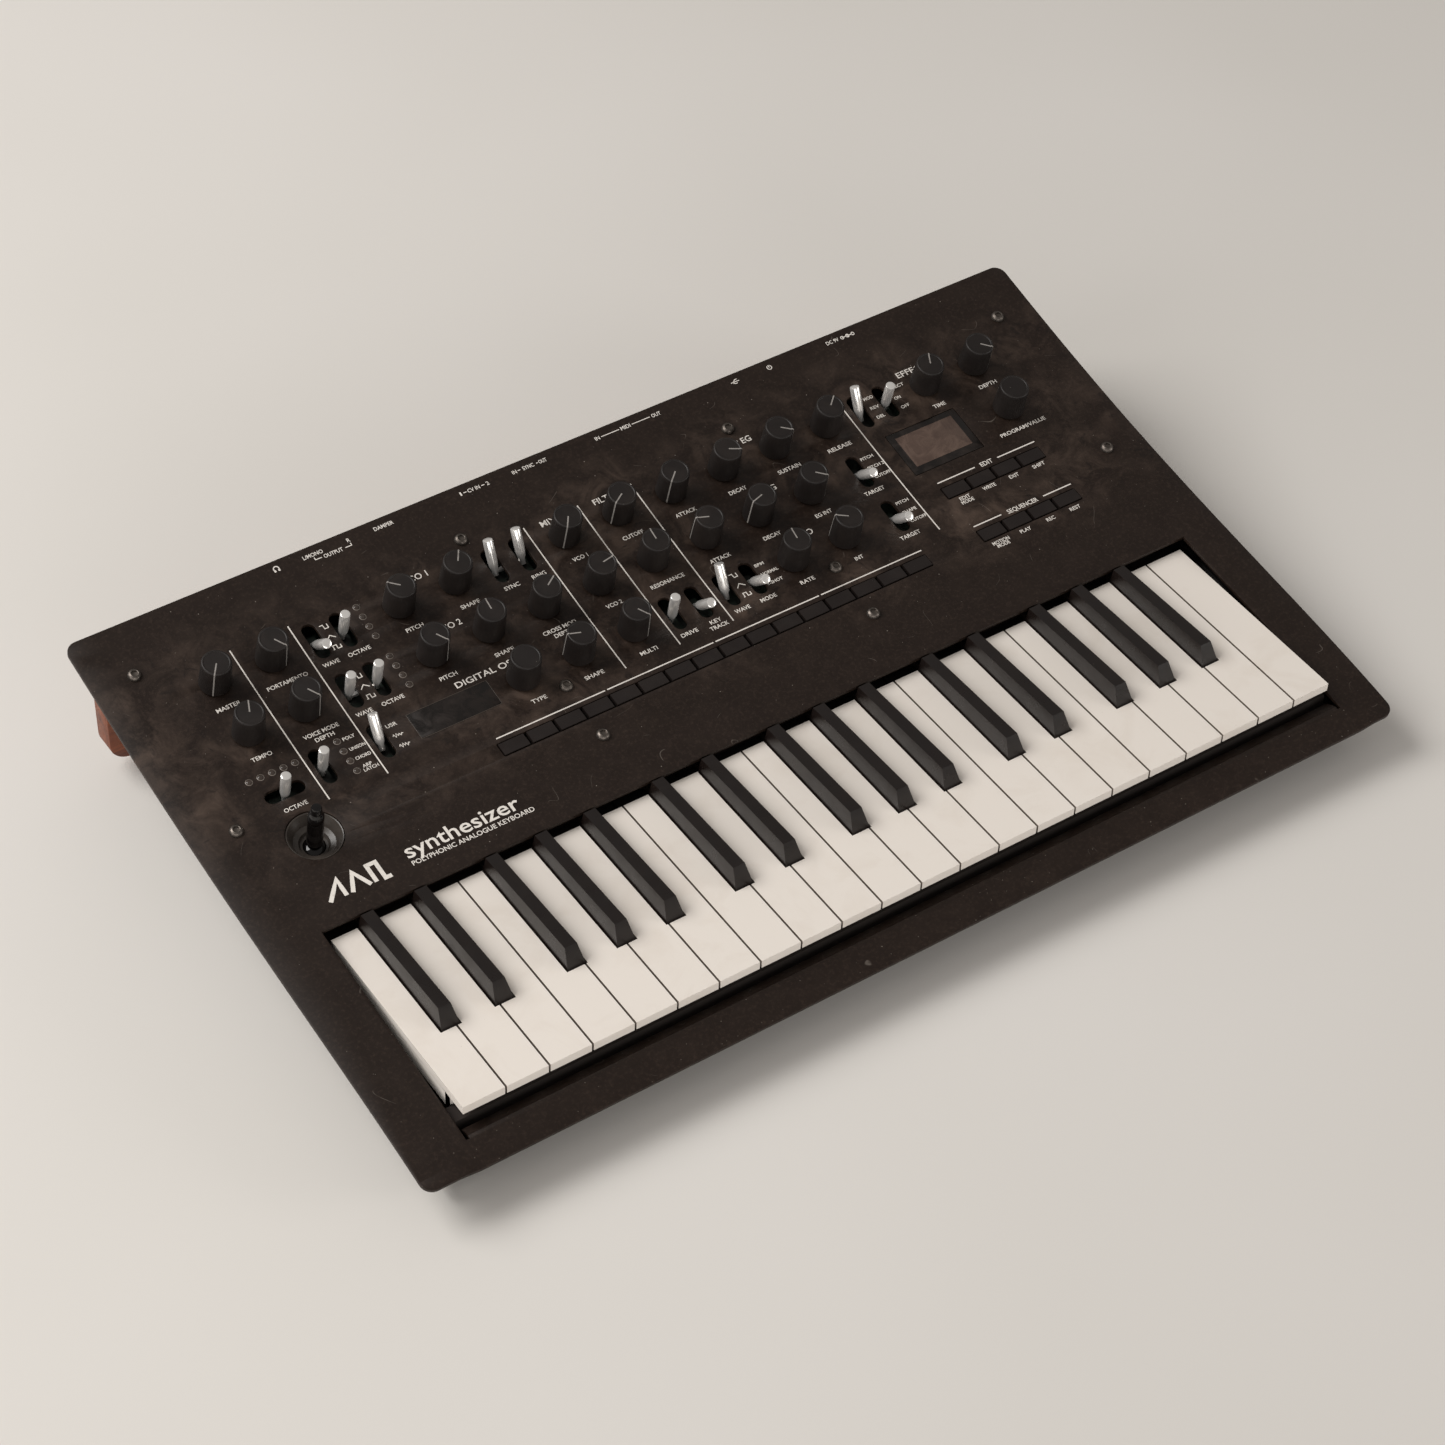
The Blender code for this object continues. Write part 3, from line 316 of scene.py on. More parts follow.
def end_tree(tree, entry, points):
    """Stand copies of the entry's piece on points, make them real and coat them."""
    source = add_node(tree, "GeometryNodeObjectInfo", {}, {"Object": entry["Piece"]})
    copies = add_node(tree, "GeometryNodeInstanceOnPoints", {},
                      {"Instance": source.outputs["Geometry"], **points})
    real = add_node(tree, "GeometryNodeRealizeInstances", {}, {"Geometry": copies.outputs[0]})
    coated = add_node(tree, "GeometryNodeSetMaterial", {},
                      {"Geometry": real.outputs[0], "Material": entry["Material"]})
    add_node(tree, "NodeGroupOutput", {}, {"Pieces": coated.outputs[0]})
    return tree


def points_tree():
    """Geometry nodes that stand a copy of one piece on each point, square to its axis."""
    name = "Pieces on points"
    if name in bpy.data.node_groups:
        return bpy.data.node_groups[name]
    tree, entry = start_tree(name, (("Points", "Geometry"), ("Piece", "Object"),
                                    ("Material", "Material"), ("Random turn", "Float"),
                                    ("Seed", "Int")))
    axis = add_node(tree, "GeometryNodeInputNamedAttribute", {"data_type": "FLOAT_VECTOR"},
                    {"Name": "axis"})
    upright = add_node(tree, "FunctionNodeAlignRotationToVector", {"axis": "Z"},
                       {"Vector": axis.outputs["Attribute"]})
    turn = add_node(tree, "FunctionNodeRandomValue", {"data_type": "FLOAT"},
                    {"Seed": entry["Seed"]})
    tree.links.new(entry["Random turn"], turn.inputs[3])
    spin = add_node(tree, "FunctionNodeAxisAngleToRotation", {},
                    {"Axis": (0, 0, 1), "Angle": turn.outputs[1]})
    rotation = add_node(tree, "FunctionNodeRotateRotation", {"rotation_space": "LOCAL"},
                        {"Rotation": upright.outputs[0], "Rotate By": spin.outputs[0]})
    return end_tree(tree, entry, {"Points": entry["Points"], "Rotation": rotation.outputs[0]})


def row_tree():
    """Geometry nodes that lay copies of one piece out in a straight row."""
    name = "Pieces in a row"
    if name in bpy.data.node_groups:
        return bpy.data.node_groups[name]
    tree, entry = start_tree(name, (("Base", "Geometry"), ("Piece", "Object"),
                                    ("Material", "Material"), ("Count", "Int"),
                                    ("Pitch", "Float")))
    step = add_node(tree, "ShaderNodeCombineXYZ", {}, {"X": entry["Pitch"]})
    line = add_node(tree, "GeometryNodeMeshLine", {"mode": "OFFSET"},
                    {"Count": entry["Count"], "Offset": step.outputs[0]})
    return end_tree(tree, entry, {"Points": line.outputs[0]})


def grown(tree, base, piece, material, values):
    """Mesh that a node tree makes from a base mesh and one piece, as a bmesh."""
    made = {}
    for key, item in (("base", base), ("piece", piece)):
        made[key] = bpy.data.objects.new(key, as_mesh(item, key))
        bpy.context.scene.collection.objects.link(made[key])
    mesh = made["piece"].data
    mesh.shade_smooth()
    mesh.set_sharp_from_angle(angle=math.radians(35))
    modifier = made["base"].modifiers.new("Pieces", "NODES")
    modifier.node_group = tree
    values = {"Piece": made["piece"], "Material": finish(material), **values}
    for socket in tree.interface.items_tree:
        if socket.in_out == "INPUT" and socket.name in values:
            modifier[socket.identifier] = values[socket.name]
    depsgraph = bpy.context.evaluated_depsgraph_get()
    result = bpy.data.meshes.new_from_object(made["base"].evaluated_get(depsgraph))
    for item in made.values():
        bpy.data.objects.remove(item)
    bm = bmesh.new()
    bm.from_mesh(result)
    return bm


def on_points(places, piece, material, turn=0.0, seed=1):
    """Copies of a piece on points, each a (point, axis) pair, as a bmesh."""
    base = bmesh.new()
    layer = base.verts.layers.float_vector.new("axis")
    for point, axis in places:
        base.verts.new(point)[layer] = Vector(axis)
    return grown(points_tree(), base, piece, material, {"Random turn": turn, "Seed": seed})


def in_row(count, pitch, piece, material):
    """Copies of a piece in a straight row along X, as a bmesh."""
    return grown(row_tree(), bmesh.new(), piece, material, {"Count": count, "Pitch": pitch})


# ---------------------------------------------------------------- materials

def linear(code):
    """Linear colour with alpha from an sRGB hex code."""
    values = [int(code[i:i + 2], 16) / 255 for i in (1, 3, 5)]
    return (*[v / 12.92 if v < 0.04045 else ((v + 0.055) / 1.055) ** 2.4 for v in values], 1.0)


def start_material(name):
    """A material with an empty tree, its shader and its object coordinates."""
    material = bpy.data.materials.new(name)
    material.use_nodes = True
    tree = material.node_tree
    tree.nodes.clear()
    shader = tree.nodes.new("ShaderNodeBsdfPrincipled")
    add_node(tree, "ShaderNodeOutputMaterial", {}, {"Surface": shader.outputs[0]})
    place = tree.nodes.new("ShaderNodeTexCoord").outputs["Object"]
    return material, tree, shader, place


def noise_at(tree, place, size_mm, detail=3.0, roughness=0.5, distortion=0.0):
    """Noise whose features are about a size in millimetres."""
    return add_node(tree, "ShaderNodeTexNoise", {},
                    {"Vector": place, "Scale": 1000.0 / size_mm, "Detail": detail,
                     "Roughness": roughness, "Distortion": distortion}).outputs["Fac"]


def span(tree, value, low, high, out_low=0.0, out_high=1.0):
    """Stretch part of a value's range to another range, clamped."""
    return add_node(tree, "ShaderNodeMapRange", {"clamp": True},
                    {0: value, 1: low, 2: high, 3: out_low, 4: out_high}).outputs[0]


def blend_colour(tree, share, first, second):
    """First colour where share is 0, second where it is 1."""
    return add_node(tree, "ShaderNodeMix", {"data_type": "RGBA"},
                    {0: share, 6: first, 7: second}).outputs[2]


def calculate(tree, operation, first, second=0.0):
    """Result of a mathematical operation on two values."""
    return add_node(tree, "ShaderNodeMath", {"operation": operation},
                    {0: first, 1: second}).outputs[0]


def times(tree, first, second):
    """Product of two values."""
    return calculate(tree, "MULTIPLY", first, second)


def highest(tree, first, second):
    """The higher of two values."""
    return calculate(tree, "MAXIMUM", first, second)


def paint(tree, shader, colour):
    """Give the shader its colour."""
    tree.links.new(colour, shader.inputs["Base Color"])


def bumped(tree, shader, value, depth_mm, strength):
    """Raise the shader's surface by a value, as a fine grain."""
    bump = add_node(tree, "ShaderNodeBump", {},
                    {"Height": value, "Distance": depth_mm / 1000.0, "Strength": strength})
    tree.links.new(bump.outputs[0], shader.inputs["Normal"])


def specks(tree, place, cell_mm, radius_mm, share):
    """Sparse round specks of dust: 1 inside a speck."""
    cells = add_node(tree, "ShaderNodeTexVoronoi", {"feature": "F1"},
                     {"Vector": place, "Scale": 1000.0 / cell_mm})
    near = span(tree, cells.outputs["Distance"], radius_mm / cell_mm, radius_mm / cell_mm * 0.5)
    parts = add_node(tree, "ShaderNodeSeparateColor", {}, {"Color": cells.outputs["Color"]})
    kept = calculate(tree, "GREATER_THAN", parts.outputs[0], 1.0 - share)
    return times(tree, near, kept)


def hairlines(tree, place, size_mm, width, share):
    """Fine curved scratches: short stretches of a noise's contour lines."""
    line = noise_at(tree, place, size_mm, 1.0, 0.4, 0.6)
    off = calculate(tree, "ABSOLUTE", calculate(tree, "SUBTRACT", line, 0.5))
    drawn = span(tree, off, width, width * 0.3)
    where = span(tree, noise_at(tree, place, size_mm * 0.45, 1.0), 1 - share, 1 - share + 0.04)
    return times(tree, drawn, where)


def powder_coated_steel(colours):
    """Bent sheet, sprayed with warm near-black powder: dull, faintly pebbled, dusty with use."""
    material, tree, shader, place = start_material("powder_coated_steel")
    parts = add_node(tree, "ShaderNodeSeparateXYZ", {}, {"Vector": place})
    # Dust gathers between the controls and stays off the plain borders
    controls = times(tree, span(tree, parts.outputs["Y"], 0.000, 0.030),
                         span(tree, parts.outputs["Y"], 0.140, 0.118))
    controls = span(tree, controls, 0.0, 1.0, 0.10, 1.0)
    cloud = span(tree, noise_at(tree, place, 42.0, 5.0, 0.6, 0.4), 0.38, 0.66)
    patch = span(tree, noise_at(tree, place, 15.0, 5.0, 0.65, 0.8), 0.40, 0.70)
    film = times(tree, times(tree, cloud, patch), controls)
    film = highest(tree, film, span(tree, patch, 0.0, 1.0, 0.0, 0.07))
    colour = blend_colour(tree, film, linear(colours.panel), linear(colours.dust))
    wiped = span(tree, noise_at(tree, place, 9.0, 4.0, 0.6, 1.5), 0.60, 0.70)
    wiped = times(tree, times(tree, wiped, controls), 0.7)
    colour = blend_colour(tree, wiped, colour, linear(colours.panel_dark))
    mottle = span(tree, noise_at(tree, place, 1.6, 4.0, 0.75), 0.50, 0.80, 0.0, 0.35)
    colour = blend_colour(tree, mottle, colour, linear(colours.dust))
    lines = times(tree, hairlines(tree, place, 26.0, 0.0022, 0.36), 0.30)
    colour = blend_colour(tree, lines, colour, linear(colours.scuff))
    dots = times(tree, specks(tree, place, 5.0, 0.30, 0.22), 0.8)
    dots = highest(tree, dots, times(tree, specks(tree, place, 2.2, 0.20, 0.12), 0.6))
    front = span(tree, parts.outputs["Y"], -0.112, -0.130, 0.0, 0.75)
    grit = times(tree, specks(tree, place, 3.0, 0.24, 0.40), front)
    dots = highest(tree, dots, grit)
    colour = blend_colour(tree, dots, colour, linear(colours.scuff))
    paint(tree, shader, colour)
    tree.links.new(span(tree, film, 0.0, 1.0, 0.44, 0.62), shader.inputs["Roughness"])
    shader.inputs["IOR"].default_value = 1.5
    shader.inputs["Specular IOR Level"].default_value = 0.26
    bumped(tree, shader, noise_at(tree, place, 0.7, 2.0, 0.6), 0.02, 0.35)
    return material


def moulded_abs(name, colours, base, worn, roughness, grain_mm=0.5, grain_depth=0.02,
                dusty=0.35, speck_share=0.10, specular=0.5):
    """Moulded ABS: an even satin colour, with faint handling marks and dust."""
    material, tree, shader, place = start_material(name)
    marks = span(tree, noise_at(tree, place, 14.0, 5.0, 0.6, 0.5), 0.45, 0.75, 0.0, dusty)
    colour = blend_colour(tree, marks, linear(base), linear(worn))
    dots = times(tree, specks(tree, place, 4.0, 0.2, speck_share), 0.5)
    colour = blend_colour(tree, dots, colour, linear(colours.scuff))
    paint(tree, shader, colour)
    varied = span(tree, noise_at(tree, place, 9.0, 3.0), 0.3, 0.7, roughness - 0.05,
                  roughness + 0.07)
    tree.links.new(varied, shader.inputs["Roughness"])
    shader.inputs["Specular IOR Level"].default_value = specular
    bumped(tree, shader, noise_at(tree, place, grain_mm, 2.0, 0.6), grain_depth, 0.5)
    return material


def ivory_abs(colours):
    """Moulded key plastic: warm white, satin, with faint brown smudges from fingers."""
    material, tree, shader, place = start_material("ivory_abs")
    smudge = span(tree, noise_at(tree, place, 24.0, 5.0, 0.6, 0.6), 0.50, 0.78, 0.0, 0.55)
    colour = blend_colour(tree, smudge, linear(colours.ivory), linear(colours.ivory_worn))
    dirt = times(tree, specks(tree, place, 5.0, 0.20, 0.12), 0.45)
    colour = blend_colour(tree, dirt, colour, linear(colours.key_dirt))
    paint(tree, shader, colour)
    tree.links.new(span(tree, smudge, 0.0, 0.6, 0.30, 0.42), shader.inputs["Roughness"])
    shader.inputs["IOR"].default_value = 1.53
    bumped(tree, shader, noise_at(tree, place, 6.0, 2.0), 0.03, 0.25)
    return material


def plated_metal(name, base, dark, roughness, streak=0.15, metallic=1.0, grain=0.3):
    """Bright plating over a turned blank: mirror-like with faint turning marks and film."""
    material, tree, shader, place = start_material(name)
    film = span(tree, noise_at(tree, place, 3.0, 3.0, 0.6), 0.45, 0.75, 0.0, streak)
    colour = blend_colour(tree, film, linear(base), linear(dark))
    paint(tree, shader, colour)
    shader.inputs["Metallic"].default_value = metallic
    tree.links.new(span(tree, film, 0.0, 0.3, roughness, roughness + 0.10),
                   shader.inputs["Roughness"])
    bumped(tree, shader, noise_at(tree, place, 1.2, 2.0), 0.003, grain)
    return material


def printed_ink(name, ink, worn):
    """Screen-printed off-white ink: flat, slightly broken where it has rubbed."""
    material, tree, shader, place = start_material(name)
    rubbed = span(tree, noise_at(tree, place, 2.2, 4.0, 0.7), 0.52, 0.72, 0.0, 0.45)
    colour = blend_colour(tree, rubbed, linear(ink), linear(worn))
    paint(tree, shader, colour)
    shader.inputs["Roughness"].default_value = 0.55
    bumped(tree, shader, noise_at(tree, place, 0.4, 2.0), 0.004, 0.3)
    return material


def smoked_acrylic(name, base, film, roughness):
    """Smoked acrylic window, glossy under a film of dust and fingerprints."""
    material, tree, shader, place = start_material(name)
    dust = span(tree, noise_at(tree, place, 9.0, 5.0, 0.65, 0.8), 0.40, 0.72)
    prints = add_node(tree, "ShaderNodeTexWave", {"wave_type": "RINGS"},
                      {"Vector": place, "Scale": 900.0, "Distortion": 3.0, "Detail": 1.0})
    zone = span(tree, noise_at(tree, place, 12.0, 1.0), 0.60, 0.66)
    ridges = times(tree, prints.outputs["Fac"], zone)
    share = highest(tree, dust, times(tree, ridges, 0.5))
    colour = blend_colour(tree, share, linear(base), linear(film))
    paint(tree, shader, colour)
    tree.links.new(span(tree, share, 0.0, 1.0, roughness, roughness + 0.3),
                   shader.inputs["Roughness"])
    shader.inputs["IOR"].default_value = 1.49
    return material


def oiled_wood(colours):
    """Oiled close-grained board: long fibres along X, darker bands, small open pores."""
    material, tree, shader, place = start_material("oiled_wood")
    long_way = add_node(tree, "ShaderNodeMapping", {}, {"Vector": place, "Scale": (0.06, 1, 1)})
    grain = noise_at(tree, long_way.outputs[0], 1.4, 5.0, 0.65, 0.3)
    bands = noise_at(tree, long_way.outputs[0], 11.0, 3.0, 0.5, 1.5)
    colour = blend_colour(tree, span(tree, bands, 0.35, 0.68), linear(colours.wood),
                          linear(colours.wood_dark))
    colour = blend_colour(tree, span(tree, grain, 0.50, 0.75, 0.0, 0.7), colour,
                          linear(colours.wood_pore))
    paint(tree, shader, colour)
    tree.links.new(span(tree, grain, 0.3, 0.8, 0.40, 0.58), shader.inputs["Roughness"])
    bumped(tree, shader, grain, 0.05, 0.5)
    return material


def circuit_board():
    """Solder-masked board with black component mouldings standing on it."""
    material, tree, shader, place = start_material("circuit_board")
    patches = span(tree, noise_at(tree, place, 6.0, 2.0), 0.48, 0.52)
    colour = blend_colour(tree, patches, linear("#10130F"), linear("#17221A"))
    paint(tree, shader, colour)
    shader.inputs["Roughness"].default_value = 0.5
    bumped(tree, shader, noise_at(tree, place, 0.8, 2.0), 0.02, 0.3)
    return material


def floor_paper():
    """Seamless pale paper sweep."""
    material, tree, shader, place = start_material("floor_paper")
    shade = span(tree, noise_at(tree, place, 400.0, 2.0), 0.3, 0.7)
    tree.links.new(blend_colour(tree, shade, linear("#D9D5CF"), linear("#DEDAD5")),
                   shader.inputs["Base Color"])
    shader.inputs["Roughness"].default_value = 0.85
    return material


# How each finish is made, from its name and the colours the user may change
MAKERS = {
    "powder_coated_steel": lambda n, c: powder_coated_steel(c),
    "ivory_abs": lambda n, c: ivory_abs(c),
    "printed_ink": lambda n, c: printed_ink(n, c.ink, c.ink_worn),
    "pointer_ink": lambda n, c: printed_ink(n, c.line, c.knob_dust),
    "oiled_wood": lambda n, c: oiled_wood(c),
    "circuit_board": lambda n, c: circuit_board(),
    "floor_paper": lambda n, c: floor_paper(),
    "key_black_abs": lambda n, c: moulded_abs(n, c, c.key_black, c.key_black_worn, 0.30, 0.8,
        0.01, dusty=0.3, specular=0.42),
    "knob_soft_touch": lambda n, c: moulded_abs(n, c, c.knob, c.knob_dust, 0.50, 0.35, 0.03,
        dusty=0.5, specular=0.34),
    "button_abs": lambda n, c: moulded_abs(n, c, c.button, c.knob_dust, 0.46, 0.4, 0.02,
        specular=0.32),
    "case_abs": lambda n, c: moulded_abs(n, c, "#1E1B1A", "#2B2725", 0.5, 0.9, 0.05),
    "cup_abs": lambda n, c: moulded_abs(n, c, "#3E3833", "#5A524B", 0.32, 0.5, 0.01, dusty=0.5),
    "gloss_black_abs": lambda n, c: moulded_abs(n, c, "#0A0808", "#100D0C", 0.08, 6.0, 0.001,
        dusty=0.1, speck_share=0.01),
    "foot_rubber": lambda n, c: moulded_abs(n, c, "#161514", "#24211F", 0.75, 0.6, 0.05),
    "lever_chrome": lambda n, c: plated_metal(n, "#FAF7F3", "#E6E0D9", 0.20, 0.1, 0.68, 0.04),
    "screw_steel": lambda n, c: plated_metal(n, "#6F6862", "#443F3A", 0.40, 0.7),
    "socket_nickel": lambda n, c: plated_metal(n, "#C9C4BD", "#8B857E", 0.2),
    "contact_gold": lambda n, c: plated_metal(n, "#D8B36A", "#8F7440", 0.22),
    "lamp_lens": lambda n, c: moulded_abs(n, c, "#3A322D", "#584D45", 0.12, 0.6, 0.01),
    "window_acrylic": lambda n, c: smoked_acrylic(n, "#0F0B09", "#241C18", 0.20),
    "display_glass": lambda n, c: smoked_acrylic(n, "#4A3B34", "#655349", 0.16),
    "key_slot_felt": lambda n, c: moulded_abs(n, c, "#2A221E", "#352C27", 0.9),
    # Grey-brown for the white keys' side faces: painted shade in the seams between keys
    "key_side_abs": lambda n, c: moulded_abs(n, c, "#7E7268", "#5E544B", 0.5),
    # Lighter brown for the label window's rim: painted highlight along its edge
    "label_edge_abs": lambda n, c: moulded_abs(n, c, "#3E3630", "#4A4039", 0.4),
    "lamp_collar": lambda n, c: moulded_abs(n, c, "#6A615A", "#85796F", 0.4),
}


def finish(name):
    """The named material, made the first time it is wanted."""
    found = bpy.data.materials.get(name)
    return found or MAKERS[name](name, bpy.context.scene.synth_colours)


# ---------------------------------------------------------------- what the user may change

def colour_of(name, text, code):
    """A colour kept as an sRGB hex code."""
    return StringProperty(name=name, description=text, default=code)


class SynthColours(bpy.types.PropertyGroup):
    """Colours of the finishes, as sRGB hex codes."""
    panel: colour_of("Panel", "Powder coat where it is clean", "#1E1510")
    panel_dark: colour_of("Panel, wiped", "Powder coat where fingers wiped it", "#150E0B")
    dust: colour_of("Dust", "Film of dust on the panel", "#4E4037")
    scuff: colour_of("Scuff", "Specks and fine scratches", "#8C837A")
    ivory: colour_of("White keys", "Key plastic where it is clean", "#EBE3DA")
    ivory_worn: colour_of("White keys, smudged", "Key plastic where it is handled", "#DDD2C6")
    key_dirt: colour_of("Key dirt", "Small marks on the white keys", "#8A7562")
    key_black: colour_of("Black keys", "Black key plastic", "#17110F")
    key_black_worn: colour_of("Black keys, worn", "Black key plastic where handled", "#241C18")
    knob: colour_of("Knobs", "Knob plastic", "#191412")
    knob_dust: colour_of("Knobs, dusty", "Dust on knobs and buttons", "#2C2521")
    button: colour_of("Buttons", "Button plastic", "#1C1614")
    ink: colour_of("Ink", "Printed words and lines", "#E4DED6")
    line: colour_of("Pointer line", "Line on each knob", "#8F8A85")
    ink_worn: colour_of("Ink, rubbed", "Printed words where rubbed", "#A69D94")
    wood: colour_of("Wood", "Rear board", "#7C3D1B")
    wood_dark: colour_of("Wood, dark bands", "Rear board's dark bands", "#5C2A12")
    wood_pore: colour_of("Wood pores", "Rear board's pores", "#3C1A0B")


def length_of(name, text, value):
    """A length in metres."""
    return FloatProperty(name=name, description=text, default=value, unit="LENGTH", precision=5)


class SynthSizes(bpy.types.PropertyGroup):
    """Sizes of the pieces that repeat."""
    knob_base: length_of("Knob foot radius", "Radius of a knob at the panel", 0.0072)
    knob_top: length_of("Knob top radius", "Radius of a knob at its top", 0.00665)
    knob_height: length_of("Knob height", "Top of a knob over the panel", 0.0161)
    encoder_extra: length_of("Encoder growth", "How much wider an encoder's knob is", 0.0003)
    pointer_width: length_of("Pointer width", "Width of a knob's line", 0.0006)
    lever_tip: length_of("Lever tip radius", "Radius of a toggle lever near its tip", 0.0023)
    lever_root: length_of("Lever root radius", "Radius of a toggle lever at its root", 0.0015)
    lever_length: length_of("Lever length", "From its pivot to its tip", 0.0149)
    key_edge: length_of("Key edge", "Rounding of the white keys' edges", 0.00055)
    black_edge: length_of("Black key edge", "Rounding of the black keys' edges", 0.00050)
    cap_length: length_of("Button length", "Length of a button cap", 0.0126)
    cap_breadth: length_of("Button breadth", "Breadth of a button cap", 0.0062)
    screw_radius: length_of("Screw head radius", "Radius of a panel screw's head", 0.0031)
    lamp_radius: length_of("Lamp radius", "Radius of a lamp's lens", 0.0013)
    knob_sides: IntProperty(name="Knob sides", description="Faces round a knob", default=72,
                            min=12, max=256)


# ---------------------------------------------------------------- panel

def knob_bodies():
    """Bodies of the knobs and of the two encoders."""
    return [b for b in JOINTS if b.endswith("_knob") or b.endswith("_encoder")]


def lever_places():
    """Body, X, Y and slot direction of every lever."""
    places = []
    for body, joint in JOINTS.items():
        if "toggle" in body:
            x, y = joint["pos_m"][:2]
            low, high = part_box(body)
            xs = [x]
            if high.x - low.x > 0.010 and body != "octave_toggle":
                xs.append(high.x - (x - low.x))
            for one in xs:
                places.append((body, one, y, body != "octave_toggle"))
    return places


def row_y(y):
    """The row of controls nearest to y."""
    return min(ROWS_Y, key=lambda row: abs(row - y))


def panel_outlines():
    """Rim and openings of the top panel, seen from above."""
    half_x, half_y, r = WIDTH / 2, DEPTH / 2, CORNER_RADIUS
    rim = []
    for sx, sy, start in ((1, 1, 0), (-1, 1, 90), (-1, -1, 180), (1, -1, 270)):
        rim += arc((sx * (half_x - r), sy * (half_y - r)), r, start, start + 90, 12)
    (left, right), (front, rear) = OPENING_X, OPENING_Y
    keys = [(left, front - RELIEF), (left + RELIEF, front - RELIEF), (left + RELIEF, front),
            (right - RELIEF, front), (right - RELIEF, front - RELIEF), (right, front - RELIEF),
            (right, rear), (left, rear)]
    outlines = [rim, keys]
    for body in knob_bodies():
        x, y = JOINTS[body]["pos_m"][:2]
        outlines.append(arc((x, y), SHAFT_HOLE, 0, 345, 23))
    for body, x, y, upright in lever_places():
        middle = row_y(y) if upright else OCTAVE_SLOT_Y
        outlines.append(slot_outline(x, middle, *SLOT, along_y=upright))
    for _, first, pitch, count, y in BUTTON_ROWS:
        far, near = BUTTON_WINDOW
        outlines.append(rectangle((first - far, first + (count - 1) * pitch + far),
                                  (y - near, y + near), 0.0008))
    outlines.append(arc((STICK_X, STICK_Y), WELL_RADIUS, 0, 352.5, 47))
    low, high = DISPLAY_OPENING
    outlines.append(rectangle((low[0], high[0]), (low[1], high[1]), 0.0006))
    return outlines


class SYNTH_OT_panel(bpy.types.Operator):
    """Build the bent top panel with its openings and its curled front lip"""
    bl_idname = "synth.panel"
    bl_label = "Top panel"

    def execute(self, context):
        bm = plate(panel_outlines(), SHEET, EDGE)
        slice_at(bm, 1, [-DEPTH / 2 + DEPTH * i / 60 for i in range(1, 60)])
        slice_at(bm, 1, [-DEPTH / 2 + 0.0012 * i for i in range(1, 12)])
        for side in (-1, 1):
            edge = OPENING_X[0] if side < 0 else OPENING_X[1]
            slice_at(bm, 0, [edge + side * LIP_FADE * i / 6 for i in range(0, 7)])
        bend_to_panel(bm)
        add_piece("top_panel_sheet", bm, ["powder_coated_steel"], "case",
                  ["top_panel"], sharp=30)

        # The lip's inner edge turns down towards the keys
        inner = bmesh.new()
        front, back = OPENING_Y[0] + 0.0002, KEY_FRONT - 0.0004
        high = height(front)
        ring = [(front, high - 0.0003), (front + 0.0016, high - 0.0007), (back, 0.0222),
                (back, 0.0212), (front, high - 0.0019)]
        solid(inner, [[(x, y, z) for y, z in ring] for x in
                      (OPENING_X[0] + RELIEF + 0.0002, OPENING_X[1] - RELIEF - 0.0002)])
        add_piece("lip_flange", inner, ["powder_coated_steel"], "case")

        # Window panes sit in and on the panel
        low, high = DISPLAY_OPENING
        gap = 0.0003
        panes = plate([rectangle((low[0] + gap, high[0] - gap), (low[1] + gap, high[1] - gap))],
                      0.0012, 0.0001)
        slice_at(panes, 1, [low[1] + 0.005 * i for i in range(1, 5)])
        low, high = LABEL_WINDOW
        label = plate([rectangle((low[0], high[0]), (low[1], high[1]), 0.0004)], 0.0004, 0.0001)
        bmesh.ops.translate(label, verts=label.verts, vec=(0, 0, 0.00012))
        # The lighter rim round the label window is a painted highlight, in place of the light its
        # edge catches
        rim = [rectangle((low[0] - grow, high[0] + grow), (low[1] - grow, high[1] + grow), 0.0005)
               for grow in (0.0003, 0.0)]
        edge = plate(rim, 0.0004, 0.00006)
        for name, bm, lift, material in (
                ("display_window", panes, -0.0002, "window_acrylic"),
                ("label_window", label, 0, "window_acrylic"),
                ("label_window_edge", edge, 0.00016, "label_edge_abs")):
            bend_to_panel(bm, lift)
            add_piece(name, bm, [material], "case")
        low, high = DISPLAY_LIT
        lit = plate([rectangle((low[0], high[0]), (low[1], high[1]), 0.0002)], 0.0003, 0.00004)
        bend_to_panel(lit, -0.0001)
        add_piece("display_glass", lit, ["display_glass"], "case")
        return {"FINISHED"}


